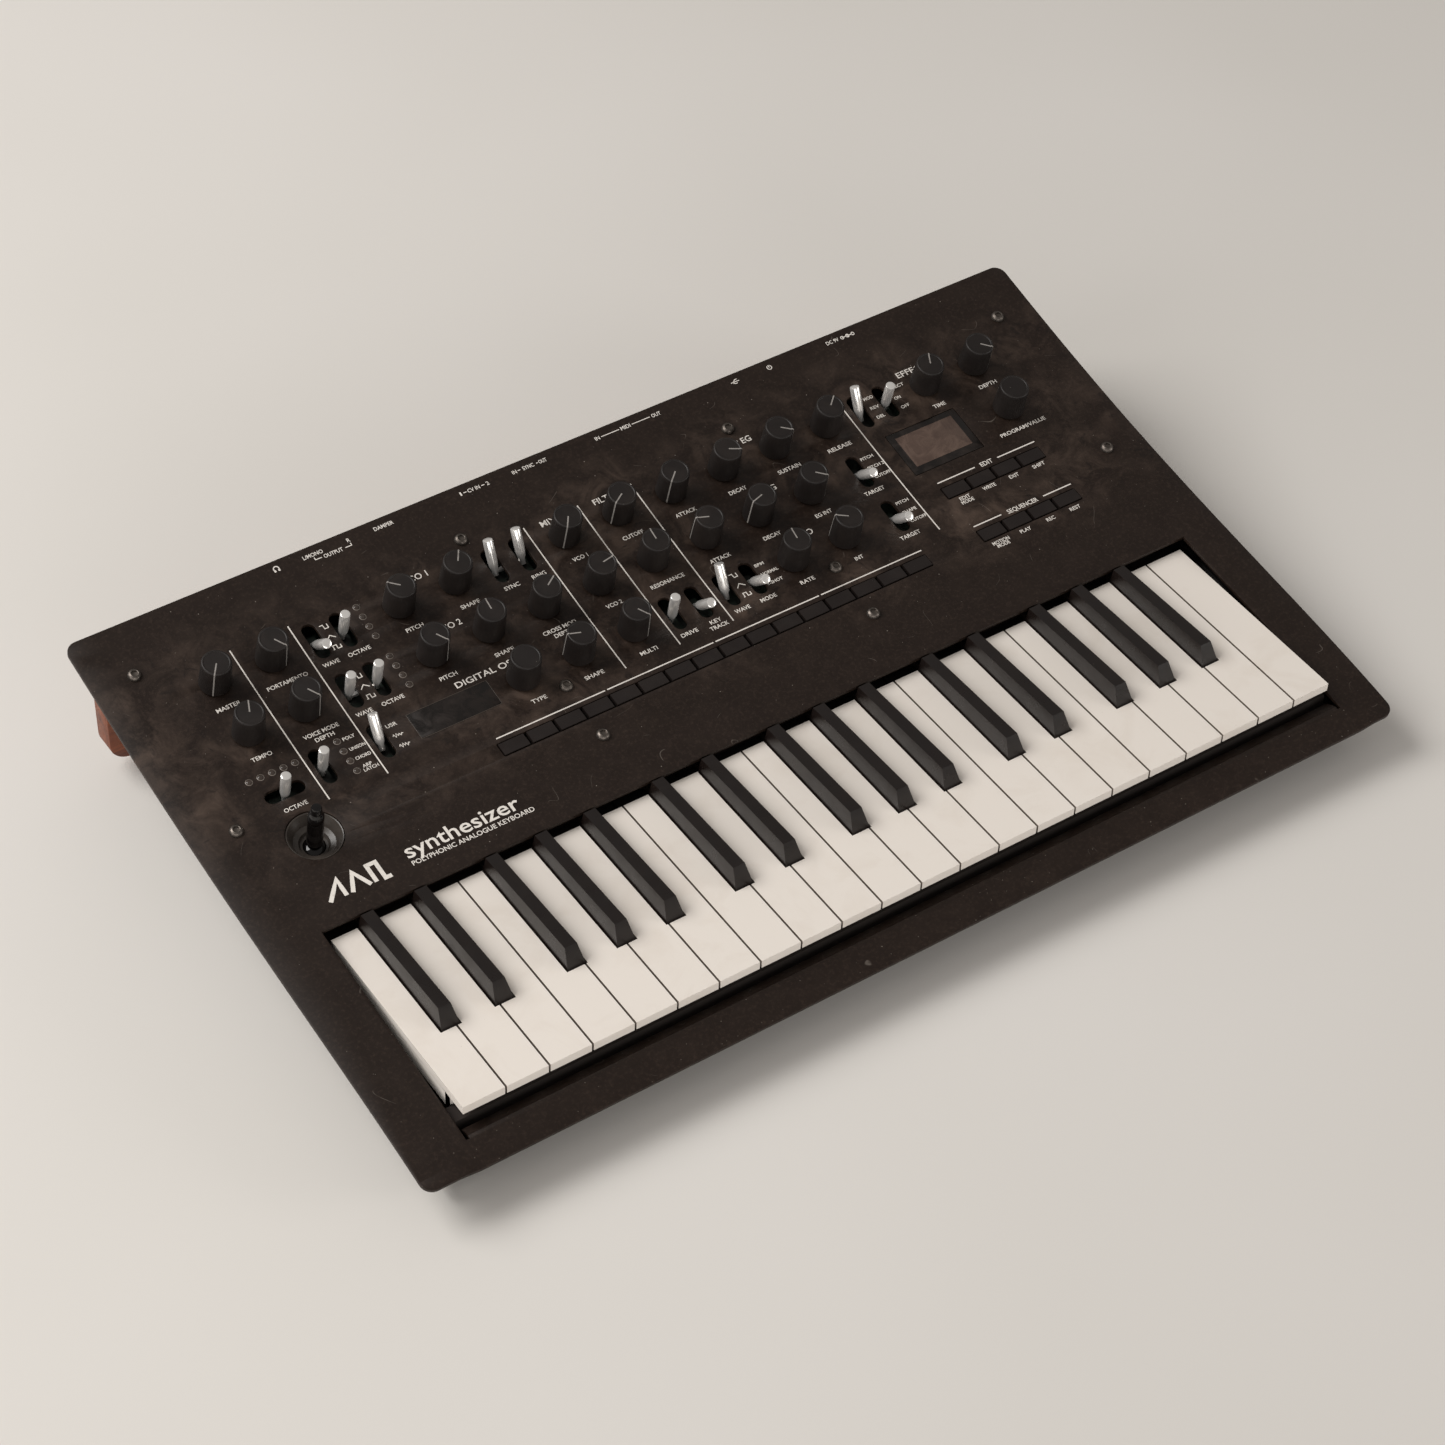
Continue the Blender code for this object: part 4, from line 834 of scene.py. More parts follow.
class SYNTH_OT_case(bpy.types.Operator):
    """Build the tray under the panel, coat the pieces inside, and add the foot pads"""
    bl_idname = "synth.case"
    bl_label = "Case"

    def execute(self, context):
        self.tray()
        for node, name in (("keybed_frame", "key_slot_felt"),
                           ("control_board", "circuit_board"), ("joystick_gimbal", "case_abs")):
            item = FRAME["nodes"][node]
            item.data.materials.clear()
            item.data.materials.append(finish(name))
        pad = bmesh.new()
        turned(pad, [(0.0088, 0.0), (0.0094, 0.0004), (0.0094, 0.0012), (0.0091, 0.0016)], 40)
        places = [((x, y, 0), (0, 0, 1)) for x, y in FEET]
        bm = on_points(places, pad, "foot_rubber")
        add_piece("foot_pads", bm, ["foot_rubber"], "case")
        return {"FINISHED"}

    def tray(self):
        """Open tray with sides that slope in under the panel, its front wall and its feet"""
        bm = bmesh.new()
        front, rear, floor, wall, knee = -0.1395, WOOD_FRONT - 0.0004, 0.0062, 0.0020, 0.0165
        rings = []
        for i in range(25):
            y = front + (rear - front) * i / 24
            top = height(y) - SHEET - 0.0007
            half = min(CASE_HALF, WIDTH / 2 - (height(y) - 0.0085) / 1.71 - 0.001)
            side = max(top + SHEET - knee, floor + 0.001)
            outer = [(-CASE_HALF, top), (-CASE_HALF, side), (-half, floor), (half, floor),
                     (CASE_HALF, side), (CASE_HALF, top)]
            inner = [(CASE_HALF - wall, top), (CASE_HALF - wall, side + 0.0008),
                     (half - wall, floor + wall), (wall - half, floor + wall),
                     (wall - CASE_HALF, side + 0.0008), (wall - CASE_HALF, top)]
            rings.append([(x, y, z) for x, z in outer + inner])
        solid(bm, rings)
        half = CASE_HALF - wall - 0.0002
        box(bm, (-half, half), (front, front + wall), (floor + wall + 0.0001,
                                                       height(front) - SHEET - 0.0022))
        for x, y in FEET:
            turned(bm, [(0.0090, 0.0017), (0.0090, floor - 0.0001)], 40,
                   Matrix.Translation((x, y, 0)))
        add_piece("case_tray", bm, ["case_abs"], "case", ["bottom_shell"],
                  sharp=30)


# ---------------------------------------------------------------- screws and lamps

def screw_head(sizes):
    """Domed socket screw head with a hexagonal recess."""
    bm = bmesh.new()
    r, sides = sizes.screw_radius, 36
    rings = []
    shape = ((r, -0.0002, 0), (r, 0.0004, 0), (r * 0.93, 0.0012, 0), (r * 0.78, 0.0018, 0),
             (0.00175, 0.0021, 0), (0.00160, 0.0020, 1), (0.00150, 0.0013, 1),
             (0.00070, 0.0012, 1))
    for radius, level, hexed in shape:
        ring = []
        for i in range(sides):
            a = 2 * math.pi * i / sides
            turn = (a + math.pi / 6) % (math.pi / 3) - math.pi / 6
            reach = radius * (math.cos(math.pi / 6) / math.cos(turn) if hexed else 1.0)
            ring.append((reach * math.cos(a), reach * math.sin(a), level))
        rings.append(ring)
    solid(bm, rings)
    bmesh.ops.recalc_face_normals(bm, faces=bm.faces)
    return bm


def lamp_rows():
    """Middle of every lamp on the panel."""
    rows = [(-0.2133 + 0.0055 * i, 0.0557) for i in range(5)]
    rows += [(-0.1278, 0.1133 - 0.0055 * i) for i in range(4)]
    rows += [(-0.1278, 0.0850 - 0.0055 * i) for i in range(4)]
    return rows + [(-0.1703, 0.0569 - 0.0056 * i) for i in range(4)]


class SYNTH_OT_screws(bpy.types.Operator):
    """Add the panel's screws and lamps"""
    bl_idname = "synth.screws"
    bl_label = "Screws and lamps"

    def execute(self, context):
        sizes = context.scene.synth_sizes
        places = [(on_panel(x, y), panel_place(x, y).col[2][:3]) for x, y in SCREWS]
        bm = on_points(places, screw_head(sizes), "screw_steel", math.pi, 4)
        add_piece("panel_screws", bm, ["screw_steel"], "case", sharp=40)
        r = sizes.lamp_radius
        lens = bmesh.new()
        turned(lens, [(r, -0.0003), (r, 0.0001), (r * 0.85, 0.00045), (r * 0.5, 0.00065),
                      (r * 0.15, 0.0007)], 24)
        places = [(on_panel(x, y), panel_place(x, y).col[2][:3]) for x, y in lamp_rows()]
        bm = on_points(places, lens, "lamp_lens")
        add_piece("lamp_lenses", bm, ["lamp_lens"], "case")
        rim = bmesh.new()
        turned_ring(rim, [(r, -0.0002), (r + 0.0004, -0.0002), (r + 0.0004, 0.0001),
                          (r + 0.0001, 0.0003), (r, 0.0002)], 24)
        bmesh.ops.recalc_face_normals(rim, faces=rim.faces)
        bm = on_points(places, rim, "lamp_collar")
        add_piece("lamp_rims", bm, ["lamp_collar"], "case")
        return {"FINISHED"}


# ---------------------------------------------------------------- knobs and levers

def knob_mesh(sizes, grow, pointer):
    """Knob round its own axis, pointer to +Y: slot 0 is its plastic, slot 1 its line."""
    bm = bmesh.new()
    base, top, high = sizes.knob_base + grow, sizes.knob_top + grow, sizes.knob_height
    profile = [(0.0030, -0.0050), (0.0030, 0.0009), (base - 0.0003, 0.0007), (base, 0.0010),
               (base * 0.3 + top * 0.7, high * 0.72), (top, high - 0.0009),
               (top - 0.0001, high - 0.0005), (top - 0.0003, high - 0.0002),
               (top - 0.0006, high - 0.00005), (top - 0.0009, high - 0.00005),
               (top - 0.00125, high - 0.0003), (top * 0.4, high - 0.00028),
               (0.0004, high - 0.00028)]
    turned(bm, profile, sizes.knob_sides)
    if pointer:
        proud, half = 0.00005, sizes.pointer_width / 2
        path = [(0.0004, high - 0.00028 + proud), (top - 0.00125, high - 0.0003 + proud),
                (top - 0.0009, high), (top - 0.0006, high), (top - 0.00026, high - 0.00014),
                (top - 0.00003, high - 0.00046), (top + proud, high - 0.0009),
                (base * 0.3 + top * 0.7 + proud, high * 0.72), (base + proud, 0.0011)]
        rings = []
        for i, (r, z) in enumerate(path):
            near = Vector(path[max(i - 1, 0)])
            far = Vector(path[min(i + 1, len(path) - 1)])
            along = (far - near).normalized()
            inner = Vector((r, z)) + Vector((along.y, -along.x)) * 0.0003
            rings.append([(-half, r, z), (half, r, z), (half, inner.x, inner.y),
                          (-half, inner.x, inner.y)])
        solid(bm, rings, material=1)
    return bm


class SYNTH_OT_knobs(bpy.types.Operator):
    """Build each knob, turned as it stands"""
    bl_idname = "synth.knobs"
    bl_label = "Knobs"

    def execute(self, context):
        sizes = context.scene.synth_sizes
        materials = ["knob_soft_touch", "pointer_ink"]
        for body in knob_bodies():
            encoder = body.endswith("_encoder")
            bm = knob_mesh(sizes, sizes.encoder_extra if encoder else 0.0, not encoder)
            turn = Matrix.Rotation(-joint_middle(body), 4, "Z")
            bmesh.ops.transform(bm, matrix=joint_place(body) @ turn, verts=bm.verts)
            add_piece(f"{body}_cap", bm, materials, body, [body], sharp=32)
        return {"FINISHED"}


class SYNTH_OT_levers(bpy.types.Operator):
    """Build the chromed toggle levers"""
    bl_idname = "synth.levers"
    bl_label = "Toggle levers"

    def execute(self, context):
        sizes = context.scene.synth_sizes
        tip, root, length = sizes.lever_tip, sizes.lever_root, sizes.lever_length
        profile = [(root, -0.0026), (root, 0.0002), (tip * 0.88, 0.0016), (tip * 1.00, 0.0040),
                   (tip * 1.02, 0.0085), (tip, length - 0.0005), (tip - 0.00012, length - 0.00015),
                   (tip - 0.0004, length), (tip * 0.5, length + 0.00006),
                   (0.0003, length + 0.00008)]
        bodies = {}
        for body, x, _, _ in lever_places():
            bodies.setdefault(body, []).append(x)
        for body, xs in bodies.items():
            bm = bmesh.new()
            place, axis = joint_place(body), Vector(JOINTS[body]["axis"])
            point = place.translation.copy()
            tilt = Matrix.Translation(point) @ Matrix.Rotation(-joint_middle(body), 4, axis)
            tilt = tilt @ Matrix.Translation(-point)
            for x in xs:
                turned(bm, profile, 40, Matrix.Translation((x - point.x, 0, 0)) @ tilt @ place)
            if len(xs) > 1:
                box(bm, (0, xs[1] - xs[0]), (-0.0008, 0.0008), (-0.0024, -0.0008), place)
            add_piece(f"{body}_lever", bm, ["lever_chrome"], body, [body],
                      sharp=40)
        return {"FINISHED"}


# ---------------------------------------------------------------- buttons

class SYNTH_OT_buttons(bpy.types.Operator):
    """Build the rows of button caps on their carriers"""
    bl_idname = "synth.buttons"
    bl_label = "Buttons"

    def execute(self, context):
        sizes = context.scene.synth_sizes
        half_x, half_y = sizes.cap_length / 2, sizes.cap_breadth / 2
        bodies = {}
        for body, first, pitch, count, y in BUTTON_ROWS:
            cap = bmesh.new()
            box(cap, (-half_x, half_x), (-half_y, half_y), (-0.0044, 0.0003))
            soften(cap, 0.0004, 3)
            row = in_row(count, pitch, cap, "button_abs")
            box(row, (0, (count - 1) * pitch), (-half_y + 0.0006, half_y - 0.0006),
                (-0.0042, -0.0031))
            bmesh.ops.transform(row, matrix=panel_place(first, y), verts=row.verts)
            bodies.setdefault(body, []).append(row)
        for body, rows in bodies.items():
            whole = bmesh.new()
            for row in rows:
                whole.from_mesh(as_mesh(row, "row"))
            if len(rows) > 1:
                _, first, pitch, count, y = BUTTON_ROWS[1]
                place = panel_place(first, y)
                for x in (i * pitch for i in range(count)):
                    box(whole, (x - 0.002, x + 0.002), (-0.0281, 0), (-0.0040, -0.0034), place)
            add_piece(f"{body}_caps", whole, ["button_abs"], body, [body])
        return {"FINISHED"}


# ---------------------------------------------------------------- keys

def white_outline(number):
    """Outline of a white key, with room for its black neighbours."""
    seam = KEYS_LEFT + number * PITCH
    left, right = seam + SEAM / 2, seam + PITCH - SEAM / 2
    before = BLACK_OFFSETS.get(number % 7 - 1)
    after = None if number == WHITE_KEYS - 1 else BLACK_OFFSETS.get(number % 7)
    rear_left = left if before is None else seam + before + NOTCH_WIDTH / 2
    rear_right = right if after is None else seam + PITCH + after - NOTCH_WIDTH / 2
    ring = [(left, KEY_FRONT), (right, KEY_FRONT)]
    if rear_right < right:
        ring += [(right, NOTCH_FRONT), (rear_right, NOTCH_FRONT)]
    ring += [(rear_right, KEY_REAR), (rear_left, KEY_REAR)]
    if rear_left > left:
        ring += [(rear_left, NOTCH_FRONT), (left, NOTCH_FRONT)]
    return ring


def black_x(number):
    """Middle of the black key that follows a white one."""
    return KEYS_LEFT + (number + 1) * PITCH + BLACK_OFFSETS[number % 7]


class SYNTH_OT_white_keys(bpy.types.Operator):
    """Build the white keys, an octave to a comb"""
    bl_idname = "synth.white_keys"
    bl_label = "White keys"

    def execute(self, context):
        edge = context.scene.synth_sizes.key_edge
        for name, numbers in OCTAVES.items():
            bm = bmesh.new()
            for number in numbers:
                ring = white_outline(number)
                solid(bm, [[(x, y, z) for x, y in ring] for z in (WHITE_TOP - PLATE, WHITE_TOP)])
            soften(bm, edge, 4)
            ends = (KEYS_LEFT + 0.0015, KEYS_LEFT + WHITE_KEYS * PITCH - 0.0015)
            # Side faces between the keys take a darker grey-brown: painted shade in the seams
            for face in bm.faces:
                if abs(face.normal.x) > 0.9 and ends[0] < face.calc_center_median().x < ends[1]:
                    face.material_index = 2
            first, last = KEYS_LEFT + numbers[0] * PITCH, KEYS_LEFT + (numbers[-1] + 1) * PITCH
            # The comb's bar and necks are key plastic but take the dark case finish, slot 1:
            # painted shade under the panel
            box(bm, (first + 0.0006, last - 0.0006), (-0.0300, -0.0020), (0.0236, 0.0296),
                material=1)
            under = WHITE_TOP - PLATE + 0.0002
            for number in numbers:
                rear = [x for x, y in white_outline(number) if y == KEY_REAR]
                middle = sum(rear) / 2
                box(bm, (middle - 0.0035, middle + 0.0035), (-0.0420, -0.0256),
                    (0.0239, under), material=1)
                seam = KEYS_LEFT + number * PITCH
                for low, high in ((SEAM / 2, 0.0016), (PITCH - 0.0016, PITCH - SEAM / 2)):
                    box(bm, (seam + low, seam + high), (-0.1172, NOTCH_FRONT), (0.0225, under))
            if name == "low":
                left = KEYS_LEFT + SEAM / 2
                box(bm, (left, left + 0.0012), (NOTCH_FRONT, -0.0300), (0.0225, under))
                box(bm, (left, left + 0.0032), (-0.1172, -0.1155), (0.0225, under))
            body = f"white_keys_{name}"
            add_piece(f"{body}_comb", bm, ["ivory_abs", "case_abs",
                      "key_side_abs"], body, [body],
                      sharp=50)
        return {"FINISHED"}


class SYNTH_OT_black_keys(bpy.types.Operator):
    """Build the black keys, an octave to a comb"""
    bl_idname = "synth.black_keys"
    bl_label = "Black keys"

    def execute(self, context):
        edge = context.scene.synth_sizes.black_edge
        base, crown = 0.0044, 0.0029
        front, top_front, rear = -0.0912, -0.0865, -0.0246
        low, mid = WHITE_TOP - 0.0030, WHITE_TOP - 0.0004
        high_front, high_rear = WHITE_TOP + 0.0086, WHITE_TOP + 0.0062
        for name, numbers in OCTAVES.items():
            numbers = [n for n in numbers if n % 7 in BLACK_OFFSETS and n < WHITE_KEYS - 1]
            bm = bmesh.new()
            for number in numbers:
                x = black_x(number)
                solid(bm, [[(x - half, near, near_z), (x + half, near, near_z),
                            (x + half, rear, rear_z), (x - half, rear, rear_z)]
                           for half, near, near_z, rear_z in (
                               (base, front, low, low), (base, front, mid, mid),
                               (crown, top_front, high_front, high_rear))])
            soften(bm, edge, 4, 14)
            first, last = black_x(numbers[0]) - base, black_x(numbers[-1]) + base
            box(bm, (first, last), (-0.0190, -0.0020), (0.0318, 0.0352))
            for number in numbers:
                x = black_x(number)
                box(bm, (x - 0.0030, x + 0.0030), (-0.0290, -0.0193), (0.0321, 0.0349))
            body = f"black_keys_{name}"
            add_piece(f"{body}_comb", bm, ["key_black_abs"], body, [body],
                      sharp=50)
        return {"FINISHED"}


# ---------------------------------------------------------------- joystick

class SYNTH_OT_joystick(bpy.types.Operator):
    """Build the stepped cup and the stick"""
    bl_idname = "synth.joystick"
    bl_label = "Joystick"

    def execute(self, context):
        place = panel_place(STICK_X, STICK_Y)
        cup = bmesh.new()
        outline = [(0.0123, -0.0006), (0.0121, -0.0004), (0.0117, -0.0006), (0.0102, -0.0034),
                   (0.0094, -0.0044), (0.0091, -0.0052), (0.0082, -0.0056), (0.0068, -0.0062),
                   (0.0064, -0.0074), (0.0060, -0.0078), (0.0050, -0.0080), (0.0048, -0.0090),
                   (0.0104, -0.0088), (0.0122, -0.0030)]
        turned_ring(cup, outline, 72, place)
        add_piece("joystick_cup", cup, ["cup_abs"], "case", sharp=28)
        stick = bmesh.new()
        profile = [(0.0020, -0.0022), (0.0020, 0.0050), (0.0024, 0.0062), (0.0033, 0.0078),
                   (0.0036, 0.0100), (0.0036, 0.0262), (0.0035, 0.0280), (0.0031, 0.0292),
                   (0.0026, 0.0298), (0.0024, 0.0304), (0.0024, 0.0330), (0.0020, 0.0338),
                   (0.0008, 0.0341)]
        turned(stick, profile, 48, joint_place("joystick_stick"))
        pin = joint_place("joystick_stick") @ Matrix.Rotation(math.pi / 2, 4, "X")
        turned(stick, [(0.0010, -0.0044), (0.0010, 0.0044)], 16, pin)
        dome = [(0.0075 * math.sin(math.radians(a)), 0.0075 * math.cos(math.radians(a)))
                for a in (50, 44, 38, 32, 26, 20, 17)]
        dome = [(0.0050, 0.0044)] + dome + [(0.0021, 0.0065)]
        turned_ring(stick, dome, 48, joint_place("joystick_stick"))
        add_piece("joystick_handle", stick, ["gloss_black_abs"], "joystick_stick",
                  ["joystick_stick"], sharp=28)
        return {"FINISHED"}


# ---------------------------------------------------------------- printed words and lines

# word, X, Y of its middle, width, height of its capitals, all in millimetres
WORDS = (
    ("VCO 1", -96.8, 115.8, 12.0, 3.0), ("VCO 2", -96.8, 87.3, 12.4, 3.0),
    ("DIGITAL OSC", -94.6, 58.8, 32.0, 3.0), ("MIXER", -25.2, 115.8, 13.2, 3.0),
    ("FILTER", 2.7, 115.8, 13.2, 3.0), ("AMP EG", 73.9, 115.8, 15.6, 3.0),
    ("EG", 73.9, 87.6, 5.4, 3.0), ("LFO", 73.9, 59.2, 7.4, 3.0),
    ("EFFECTS", 174.3, 115.8, 19.2, 3.0),
    ("MASTER", -202.1, 93.1, 11.5, 2.0), ("PORTAMENTO", -173.5, 93.1, 19.6, 2.0),
    ("WAVE", -152.1, 93.1, 7.9, 2.0), ("OCTAVE", -138.2, 93.1, 10.9, 2.0),
    ("PITCH", -110.4, 93.1, 8.6, 2.0), ("SHAPE", -82.2, 93.1, 9.6, 2.0),
    ("SYNC", -60.8, 93.1, 7.7, 2.0), ("RING", -46.8, 93.1, 7.0, 2.0),
    ("VCO 1", -25.2, 93.1, 7.7, 2.0), ("CUTOFF", 2.8, 93.1, 10.8, 2.0),
    ("ATTACK", 31.3, 93.2, 11.0, 2.0), ("DECAY", 59.6, 93.2, 9.3, 2.0),
    ("SUSTAIN", 88.1, 93.2, 12.3, 2.0), ("RELEASE", 116.4, 93.2, 12.9, 2.0),
    ("TIME", 173.5, 93.2, 6.7, 2.0), ("DEPTH", 201.8, 93.2, 9.8, 2.0),
    ("TEMPO", -202.1, 64.8, 9.7, 2.0), ("VOICE MODE", -173.6, 64.7, 16.8, 2.0),
    ("DEPTH", -173.6, 61.5, 9.0, 2.0), ("WAVE", -152.4, 64.7, 7.9, 2.0),
    ("OCTAVE", -138.3, 64.7, 10.9, 2.0), ("PITCH", -110.6, 64.7, 8.6, 2.0),
    ("SHAPE", -82.2, 64.7, 9.6, 2.0), ("CROSS MOD", -53.8, 64.8, 16.9, 2.0),
    ("DEPTH", -53.8, 61.7, 9.0, 2.0), ("VCO 2", -25.4, 64.8, 8.2, 2.0),
    ("RESONANCE", 2.8, 64.8, 17.5, 2.0), ("ATTACK", 31.2, 64.9, 11.0, 2.0),
    ("DECAY", 59.4, 64.9, 9.3, 2.0), ("EG INT", 87.8, 64.9, 8.8, 2.0),
    ("TARGET", 116.4, 65.1, 10.8, 2.0), ("PROGRAM/VALUE", 201.8, 65.0, 25.8, 2.0),
    ("OCTAVE", -202.0, 36.3, 11.0, 2.0), ("TYPE", -82.2, 36.3, 7.5, 2.0),
    ("SHAPE", -53.9, 36.3, 9.6, 2.0), ("MULTI", -25.6, 36.3, 8.7, 2.0),
    ("DRIVE", -4.2, 36.3, 8.7, 2.0), ("KEY", 9.8, 36.6, 5.8, 2.0),
    ("TRACK", 9.8, 33.5, 9.6, 2.0), ("WAVE", 24.2, 36.5, 7.9, 2.0),
    ("MODE", 38.1, 36.5, 8.2, 2.0), ("RATE", 59.4, 36.6, 7.5, 2.0),
    ("INT", 87.8, 36.6, 4.3, 2.0), ("TARGET", 116.4, 36.6, 10.8, 2.0),
    ("EDIT", 173.3, 55.4, 6.7, 2.3), ("EDIT", 152.1, 43.2, 5.7, 1.9),
    ("MODE", 152.1, 40.9, 6.8, 1.9), ("WRITE", 166.1, 43.2, 7.1, 1.9),
    ("EXIT", 180.4, 43.2, 5.2, 1.9), ("SHIFT", 194.7, 43.2, 6.8, 1.9),
    ("SEQUENCER", 173.2, 26.9, 17.3, 2.3), ("MOTION", 151.7, 14.5, 9.2, 1.9),
    ("MODE", 151.7, 12.4, 6.8, 1.9), ("PLAY", 165.8, 14.5, 6.0, 1.9),
    ("REC", 180.3, 14.5, 4.6, 1.9), ("REST", 194.4, 14.5, 5.8, 1.9),
    ("POLY", -164.8, 56.7, 5.7, 1.6), ("UNISON", -163.9, 50.9, 7.5, 1.6),
    ("CHORD", -164.1, 45.7, 7.3, 1.6), ("ARP", -164.9, 41.0, 4.4, 1.6),
    ("LATCH", -164.1, 38.9, 7.0, 1.6), ("USR", -145.6, 53.9, 5.2, 1.8),
    ("PITCH", 124.3, 82.7, 6.8, 1.6), ("PITCH 2", 125.6, 77.1, 8.8, 1.6),
    ("CUTOFF", 125.6, 71.6, 8.8, 1.6), ("PITCH", 124.3, 54.3, 6.8, 1.6),
    ("SHAPE", 124.5, 48.6, 7.4, 1.6), ("CUTOFF", 125.6, 43.1, 8.8, 1.6),
    ("BPM", 44.8, 54.0, 4.8, 1.6), ("NORMAL", 46.9, 48.6, 9.0, 1.6),
    ("1-SHOT", 46.3, 43.1, 7.9, 1.6), ("MOD", 144.9, 111.0, 5.2, 1.6),
    ("REV", 144.7, 105.3, 4.8, 1.6), ("DEL", 144.4, 99.7, 4.4, 1.6),
    ("SELECT", 160.6, 111.0, 9.2, 1.6), ("ON", 157.8, 105.3, 3.4, 1.6),
    ("OFF", 158.3, 99.7, 4.6, 1.6),
    ("L/MONO", -131.0, 145.4, 9.8, 1.9), ("R", -113.1, 145.4, 1.5, 1.9),
    ("OUTPUT", -122.3, 142.5, 9.4, 1.9), ("DAMPER", -95.2, 145.4, 9.8, 1.9),
    ("1", -55.3, 145.4, 0.8, 1.9), ("CV IN", -48.6, 145.4, 6.2, 1.9),
    ("2", -41.3, 145.4, 1.4, 1.9), ("IN", -27.2, 145.4, 2.2, 1.9),
    ("SYNC", -19.9, 145.4, 5.8, 1.9), ("OUT", -12.3, 145.4, 4.0, 1.9),
    ("IN", 17.1, 145.3, 2.4, 1.9), ("MIDI", 32.3, 145.3, 5.2, 1.9),
    ("OUT", 49.0, 145.3, 4.8, 1.9), ("DC 9V", 148.4, 145.6, 6.9, 1.9),
    ("synthesizer", -146.6, -5.4, 55.2, 7.2),
    ("POLYPHONIC ANALOGUE KEYBOARD", -144.5, -11.8, 59.4, 2.3),
)
# lines of a pen's width: width, then points, all in millimetres
STROKES = (
    *[(0.58, ((x, 32.9), (x, 117.7))) for x in (-187.8, -159.4, -39.7, -11.3)],
    *[(0.58, ((x, 33.0), (x, 117.5))) for x in (17.0, 130.4)],
    *[(0.58, ((a, 26.9), (b, 26.9))) for a, b in ((-109.7, -54.5), (-53.3, 2.2), (3.3, 58.9),
                                                 (60.1, 115.6))],
    (0.58, ((145.3, 55.5), (166.7, 55.5))), (0.58, ((179.8, 55.5), (201.4, 55.5))),
    (0.58, ((145.3, 27.0), (161.1, 27.0))), (0.58, ((185.3, 27.0), (201.4, 27.0))),
    (0.4, ((-131.2, 143.8), (-131.2, 142.5), (-128.0, 142.5))),
    (0.4, ((-116.2, 142.5), (-113.0, 142.5), (-113.0, 143.8))),
    (0.4, ((-53.9, 145.4), (-52.3, 145.4))), (0.4, ((-44.6, 145.4), (-43.0, 145.4))),
    (0.4, ((-25.4, 145.4), (-24.0, 145.4))), (0.4, ((-15.6, 145.4), (-14.8, 145.4))),
    (0.4, ((19.2, 145.3), (28.9, 145.3))), (0.4, ((35.8, 145.3), (45.6, 145.3))),
    (0.4, ((90.7, 145.4), (95.2, 145.4))), (0.4, ((92.0, 145.4), (93.4, 146.5), (94.6, 146.5))),
    (0.4, ((91.4, 145.4), (92.6, 144.4), (93.8, 144.4))), (0.45, ((112.4, 146.9), (112.4, 145.5))),
    (0.4, ((154.0, 145.5), (159.8, 145.5))),
)


def wave_strokes():
    """Waveform signs beside the wave switches, and a plain wave badge at the keys."""
    strokes = []
    for x, y in ((-145.6, 110.6), (-145.6, 82.1), (30.7, 53.9)):
        strokes.append((0.42, ((x - 1.8, y + 1.1), (x - 0.2, y + 1.1), (x, y - 1.0),
                               (x + 1.8, y - 1.0), (x + 1.8, y + 1.1))))
        strokes.append((0.42, ((x - 2.0, y - 6.7), (x, y - 4.8), (x + 2.2, y - 6.7))))
        strokes.append((0.42, ((x - 2.2, y - 12.2), (x - 1.6, y - 12.2), (x - 1.6, y - 10.2),
                               (x + 0.1, y - 10.2), (x + 0.1, y - 12.2), (x + 1.9, y - 12.2),
                               (x + 1.9, y - 10.6))))
    for y, wild in ((48.1, 0.6), (42.5, 1.0)):
        rises = (0.0, 0.9, -0.8, 1.0, -0.4 * wild, 0.7 * wild, -0.9 * wild, 0.3, 0.0)
        strokes.append((0.38, tuple((-148.0 + 0.62 * i, y + r) for i, r in enumerate(rises))))
    left, low, high = -213.4, -12.6, -3.6
    strokes.append((1.9, ((left, low), (left + 7.6, high), (left + 7.6, low))))
    strokes.append((1.9, ((left + 10.6, low), (left + 14.9, high), (left + 19.2, low))))
    strokes.append((1.9, ((left + 21.8, low), (left + 21.8, high), (left + 26.0, high),
                          (left + 26.0, low), (left + 29.0, low))))
    return strokes


def circle_strokes():
    """Round signs: headphones, power, and the polarity of the supply."""
    def ring(x, y, radius, start, end, steps=20):
        return tuple(arc((x, y), radius, start, end, steps))
    return [(0.5, ring(-149.0, 145.7, 1.25, -35, 215)), (0.9, ((-150.0, 145.2), (-150.0, 144.2))),
            (0.9, ((-148.0, 145.2), (-148.0, 144.2))), (0.4, ring(112.4, 145.6, 1.15, 125, 415)),
            (0.4, ring(154.0, 145.5, 0.75, 0, 342, 19)),
            (1.1, ring(157.0, 145.5, 0.45, 0, 342, 19)),
            (0.4, ring(160.0, 145.5, 0.75, 0, 342, 19))]


INK_LOW, INK_HIGH = -0.00002, 0.00004


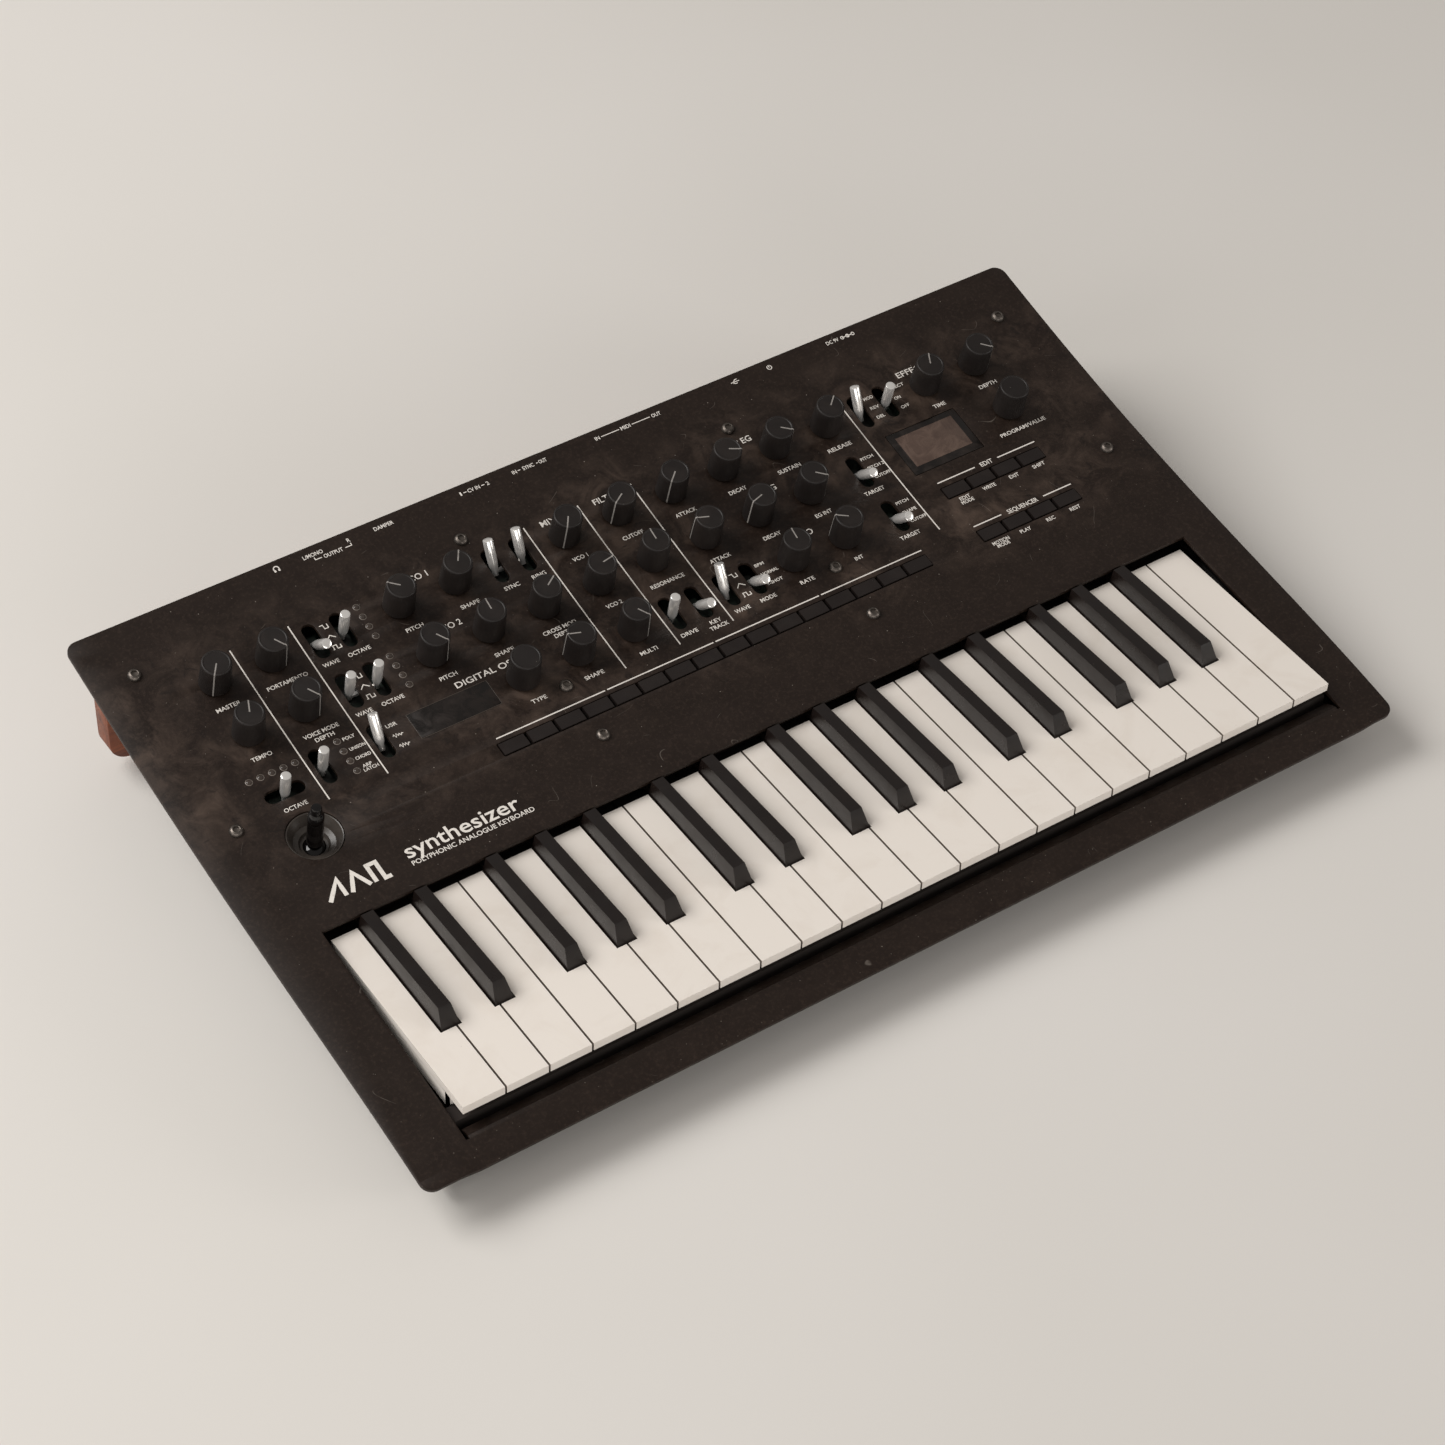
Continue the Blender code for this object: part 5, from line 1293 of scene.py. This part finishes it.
def stroke(bm, width, points):
    """Raised line of ink along points in millimetres, cut where the panel bends."""
    path = [Vector(p) / 1000 for p in points]
    fine = [path[0]]
    for a, b in zip(path, path[1:]):
        steps = max(1, int((b - a).length / 0.004))
        fine += [a.lerp(b, i / steps) for i in range(1, steps + 1)]
    rings = []
    for i, point in enumerate(fine):
        before = fine[max(i - 1, 0)]
        after = fine[min(i + 1, len(fine) - 1)]
        into = (point - before).normalized() if i else (after - point).normalized()
        out = (after - point).normalized() if i < len(fine) - 1 else into
        along = (into + out).normalized() if (into + out).length > 1e-6 else into
        side = Vector((-along.y, along.x))
        reach = width / 2000 / max(side.dot(Vector((-into.y, into.x))), 0.55)
        left, right = point + side * reach, point - side * reach
        rings.append([on_panel(left.x, left.y, INK_LOW), on_panel(right.x, right.y, INK_LOW),
                      on_panel(right.x, right.y, INK_HIGH), on_panel(left.x, left.y, INK_HIGH)])
    solid(bm, rings)


def word_mesh(text):
    """A word as a thin closed solid, one unit high to the font's own scale."""
    curve = bpy.data.curves.new("word", "FONT")
    curve.body = text
    curve.resolution_u = 3
    curve.extrude = 0.02
    curve.offset = 0.010
    holder = bpy.data.objects.new("word", curve)
    bpy.context.scene.collection.objects.link(holder)
    depsgraph = bpy.context.evaluated_depsgraph_get()
    mesh = bpy.data.meshes.new_from_object(holder.evaluated_get(depsgraph))
    bpy.data.objects.remove(holder)
    return mesh


class SYNTH_OT_print(bpy.types.Operator):
    """Print the plain words, lines and signs on the panel"""
    bl_idname = "synth.print"
    bl_label = "Printed words"

    def execute(self, context):
        capital = max(v.co.y for v in word_mesh("H").vertices)
        tall = max(v.co.y for v in word_mesh("h").vertices)
        bm = bmesh.new()
        for text, x, y, width, high in WORDS:
            mesh = word_mesh(text)
            left = min(v.co.x for v in mesh.vertices)
            right = max(v.co.x for v in mesh.vertices)
            letter = tall if text.islower() else capital
            scale = high / 1000 / letter
            stretch = width / 1000 / (right - left)
            for vert in mesh.vertices:
                u = x / 1000 + (vert.co.x - (left + right) / 2) * stretch
                v = y / 1000 + (vert.co.y - letter / 2) * scale
                vert.co = on_panel(u, v, INK_HIGH if vert.co.z > 0 else INK_LOW)
            bm.from_mesh(mesh)
        bmesh.ops.remove_doubles(bm, verts=bm.verts, dist=1e-6)
        for width, points in (*STROKES, *wave_strokes(), *circle_strokes()):
            stroke(bm, width, points)
        add_piece("printed_legends", bm, ["printed_ink"], "case")
        return {"FINISHED"}


# ---------------------------------------------------------------- back

def back_place(x):
    """Frame at a rear socket with Z pointing out of the back."""
    return Matrix.Translation((x, 0, SOCKET_Z)) @ Matrix.Rotation(-math.pi / 2, 4, "X")


class SYNTH_OT_back(bpy.types.Operator):
    """Build the wooden back with its sockets and power button"""
    bl_idname = "synth.back"
    bl_label = "Back and sockets"

    def execute(self, context):
        top = [(x, height(WOOD_REAR) - SHEET - 0.0012) for x in (CASE_HALF, -CASE_HALF)]
        r = 0.010
        rim = arc((-CASE_HALF + r, WOOD_BOTTOM + r), r, 180, 270, 10)
        rim += arc((CASE_HALF - r, WOOD_BOTTOM + r), r, 270, 360, 10) + top
        holes = [arc((x, SOCKET_Z), radius, 0, last, steps)
                 for xs, radius, last, steps in HOLES for x in xs]
        holes.append(rectangle((USB_X - 0.0066, USB_X + 0.0066),
                               (SOCKET_Z - 0.0061, SOCKET_Z + 0.0061), 0.0006))
        bm = plate([rim, *holes], WOOD_REAR - WOOD_FRONT, 0.0006)
        for vert in bm.verts:
            x, z, depth = vert.co
            y = WOOD_REAR + depth
            if z > 0.060:
                z = height(y) - SHEET - 0.0004 - (0.0006 if depth > -0.0003 else 0.0)
            vert.co = (x, y, z)
        add_piece("rear_board", bm, ["oiled_wood"], "case", ["rear_panel"])
        self.sockets()
        return {"FINISHED"}

    def sockets(self):
        """Sockets behind the wood, each a bush, a dark body and its contacts"""
        face = WOOD_REAR - 0.0010
        bush, body, gold = bmesh.new(), bmesh.new(), bmesh.new()
        box(body, (-0.165, 0.169), (0.1290, 0.1306), (0.0260, 0.0560))
        for x, outer, bore in [(x, 0.0062, 0.0032) for x in JACKS] + [
                (INLET_X, 0.0062, 0.0030)] + [(x, 0.0042, 0.0018) for x in SYNCS]:
            place = back_place(x)
            shell = [(outer, SLEEVE_START), (outer, face - 0.0003), (outer - 0.0003, face),
                     (bore + 0.0012, face), (bore + 0.0012, SLEEVE_START)]
            turned_ring(body, shell, 40, place)
            collar = [(bore + 0.0011, face - 0.013), (bore + 0.0011, face + 0.0001),
                      (bore + 0.0008, face + 0.0005), (bore + 0.0002, face + 0.0005),
                      (bore, face + 0.0002), (bore, face - 0.013)]
            turned_ring(bush, collar, 40, place)
            if x == INLET_X:
                turned(gold, [(0.00105, face - 0.0130), (0.00105, face - 0.0024),
                              (0.0005, face - 0.0016)], 20, place)
        for x in DINS:
            place = back_place(x)
            turned_ring(bush, [(0.0088, SLEEVE_START), (0.0088, face - 0.0002),
                               (0.0085, face + 0.0002), (0.0079, face + 0.0002),
                               (0.0077, face), (0.0077, SLEEVE_START)], 56, place)
            turned(body, [(0.0076, SLEEVE_START), (0.0076, face - 0.0010),
                          (0.0074, face - 0.0012)], 56, place)
            for angle in (0, 45, 90, 135, 180):
                a = math.radians(angle)
                spot = place @ Matrix.Translation((0.0035 * math.cos(a), -0.0035 * math.sin(a), 0))
                turned_ring(gold, [(0.0005, face - 0.0020), (0.0009, face - 0.0020),
                                   (0.0009, face - 0.0010), (0.0005, face - 0.0010)], 16, spot)
        shell = plate([rectangle((-0.0060, 0.0060), (-0.0055, 0.0055), 0.0006),
                       rectangle((-0.0050, 0.0050), (-0.0045, 0.0045), 0.0006)], 0.0160, 0.0002)
        bmesh.ops.transform(shell, matrix=back_place(USB_X) @ Matrix.Translation((0, 0, face)),
                            verts=shell.verts)
        bush.from_mesh(as_mesh(shell, "usb"))
        box(body, (USB_X - 0.0028, USB_X + 0.0028), (SLEEVE_START, face - 0.0030),
            (SOCKET_Z - 0.0016, SOCKET_Z + 0.0016))
        for name, bm, material in (("socket_bushes", bush, "socket_nickel"),
                                   ("socket_contacts", gold, "contact_gold")):
            add_piece(name, bm, [material], "case")
        add_piece("socket_bodies", body, ["case_abs"], "case", ["jack_board"])
        button = bmesh.new()
        turned(button, [(0.0045, 0.1330), (0.0045, 0.1490), (0.0042, 0.1495), (0.0030, 0.14965),
                        (0.0004, 0.1497)], 48, back_place(POWER_X))
        add_piece("power_cap", button, ["gloss_black_abs"], "power_button",
                  ["power_button"])



# ---------------------------------------------------------------- stage

TARGET = Vector((-0.019, -0.012, 0.042))
AZIMUTH, ELEVATION, ROLL = -35.62, 44.85, 2.34
CAMERA_DISTANCE, LENS = 1.585, 91.26
# Name, place, width and height, watts and colour
LIGHTS = (("key_light", (-1.35, 1.10, 1.85), (1.5, 1.5), 50, (1.0, 0.985, 0.965)),
          ("front_fill", (-1.1, -2.3, 0.60), (2.6, 1.1), 22, (1.0, 0.98, 0.96)),
          ("left_strip", (-2.1, -0.3, 0.8), (0.6, 1.5), 8, (1.0, 0.98, 0.96)),
          ("right_strip", (1.7, -1.6, 0.6), (0.8, 1.1), 12, (1.0, 0.98, 0.96)))


class SYNTH_OT_stage(bpy.types.Operator):
    """Set the camera, the soft lights and the pale floor"""
    bl_idname = "synth.stage"
    bl_label = "Stage"

    def execute(self, context):
        scene = context.scene
        az, el, roll = (math.radians(a) for a in (AZIMUTH, ELEVATION, ROLL))
        back = Vector((math.sin(az) * math.cos(el), -math.cos(az) * math.cos(el), math.sin(el)))
        right = (-back).cross(Vector((0, 0, 1))).normalized()
        up = right.cross(-back)
        tilted = right * math.cos(roll) + up * math.sin(roll)
        upright = up * math.cos(roll) - right * math.sin(roll)
        pose = Matrix((tilted, upright, back)).transposed().to_4x4()
        pose.translation = TARGET + back * CAMERA_DISTANCE
        data = bpy.data.cameras.new("camera")
        data.sensor_width = 36
        data.lens = LENS
        data.clip_start = 0.05
        camera = bpy.data.objects.new("camera", data)
        camera.matrix_world = pose
        scene.collection.objects.link(camera)
        scene.camera = camera
        for name, place, size, power, colour in LIGHTS:
            light = bpy.data.lights.new(name, "AREA")
            light.shape = "RECTANGLE"
            light.size, light.size_y = size
            light.energy = power
            light.color = colour
            lamp = bpy.data.objects.new(name, light)
            lamp.location = place
            aim = TARGET - Vector(place)
            lamp.rotation_euler = aim.to_track_quat("-Z", "Y").to_euler()
            scene.collection.objects.link(lamp)
        world = bpy.data.worlds.new("studio")
        world.use_nodes = True
        sky = world.node_tree.nodes["Background"]
        sky.inputs["Color"].default_value = linear("#F0EBE6")
        sky.inputs["Strength"].default_value = 0.30
        scene.world = world
        floor = bmesh.new()
        box(floor, (-4, 4), (-4, 4), (-0.02, 0.0))
        mesh = as_mesh(floor, "floor")
        mesh.materials.append(finish("floor_paper"))
        ground = bpy.data.objects.new("floor", mesh)
        scene.collection.objects.link(ground)
        scene.view_settings.view_transform = "Standard"
        return {"FINISHED"}


# ---------------------------------------------------------------- add-on

OPERATORS = (SYNTH_OT_panel, SYNTH_OT_case, SYNTH_OT_screws, SYNTH_OT_knobs, SYNTH_OT_levers,
             SYNTH_OT_buttons, SYNTH_OT_white_keys, SYNTH_OT_black_keys, SYNTH_OT_joystick,
             SYNTH_OT_print, SYNTH_OT_back, SYNTH_OT_stage)


class SYNTH_PT_panel(bpy.types.Panel):
    """The pieces, in the order in which they are made"""
    bl_idname = "SYNTH_PT_panel"
    bl_label = "Synthesizer"
    bl_space_type = "VIEW_3D"
    bl_region_type = "UI"
    bl_category = "Synthesizer"

    def draw(self, context):
        for name in SynthSizes.__annotations__:
            self.layout.prop(context.scene.synth_sizes, name)
        for name in SynthColours.__annotations__:
            self.layout.prop(context.scene.synth_colours, name)
        for operator in OPERATORS:
            self.layout.operator(operator.bl_idname)


CLASSES = (SynthSizes, SynthColours, *OPERATORS, SYNTH_PT_panel)


def register():
    for item in CLASSES:
        bpy.utils.register_class(item)
    bpy.types.Scene.synth_sizes = PointerProperty(type=SynthSizes)
    bpy.types.Scene.synth_colours = PointerProperty(type=SynthColours)


def unregister():
    del bpy.types.Scene.synth_colours
    del bpy.types.Scene.synth_sizes
    for item in reversed(CLASSES):
        bpy.utils.unregister_class(item)


def main():
    """Make every piece in order."""
    register()
    for operator in OPERATORS:
        group, name = operator.bl_idname.split(".")
        getattr(getattr(bpy.ops, group), name)()


if __name__ == "__main__":
    main()
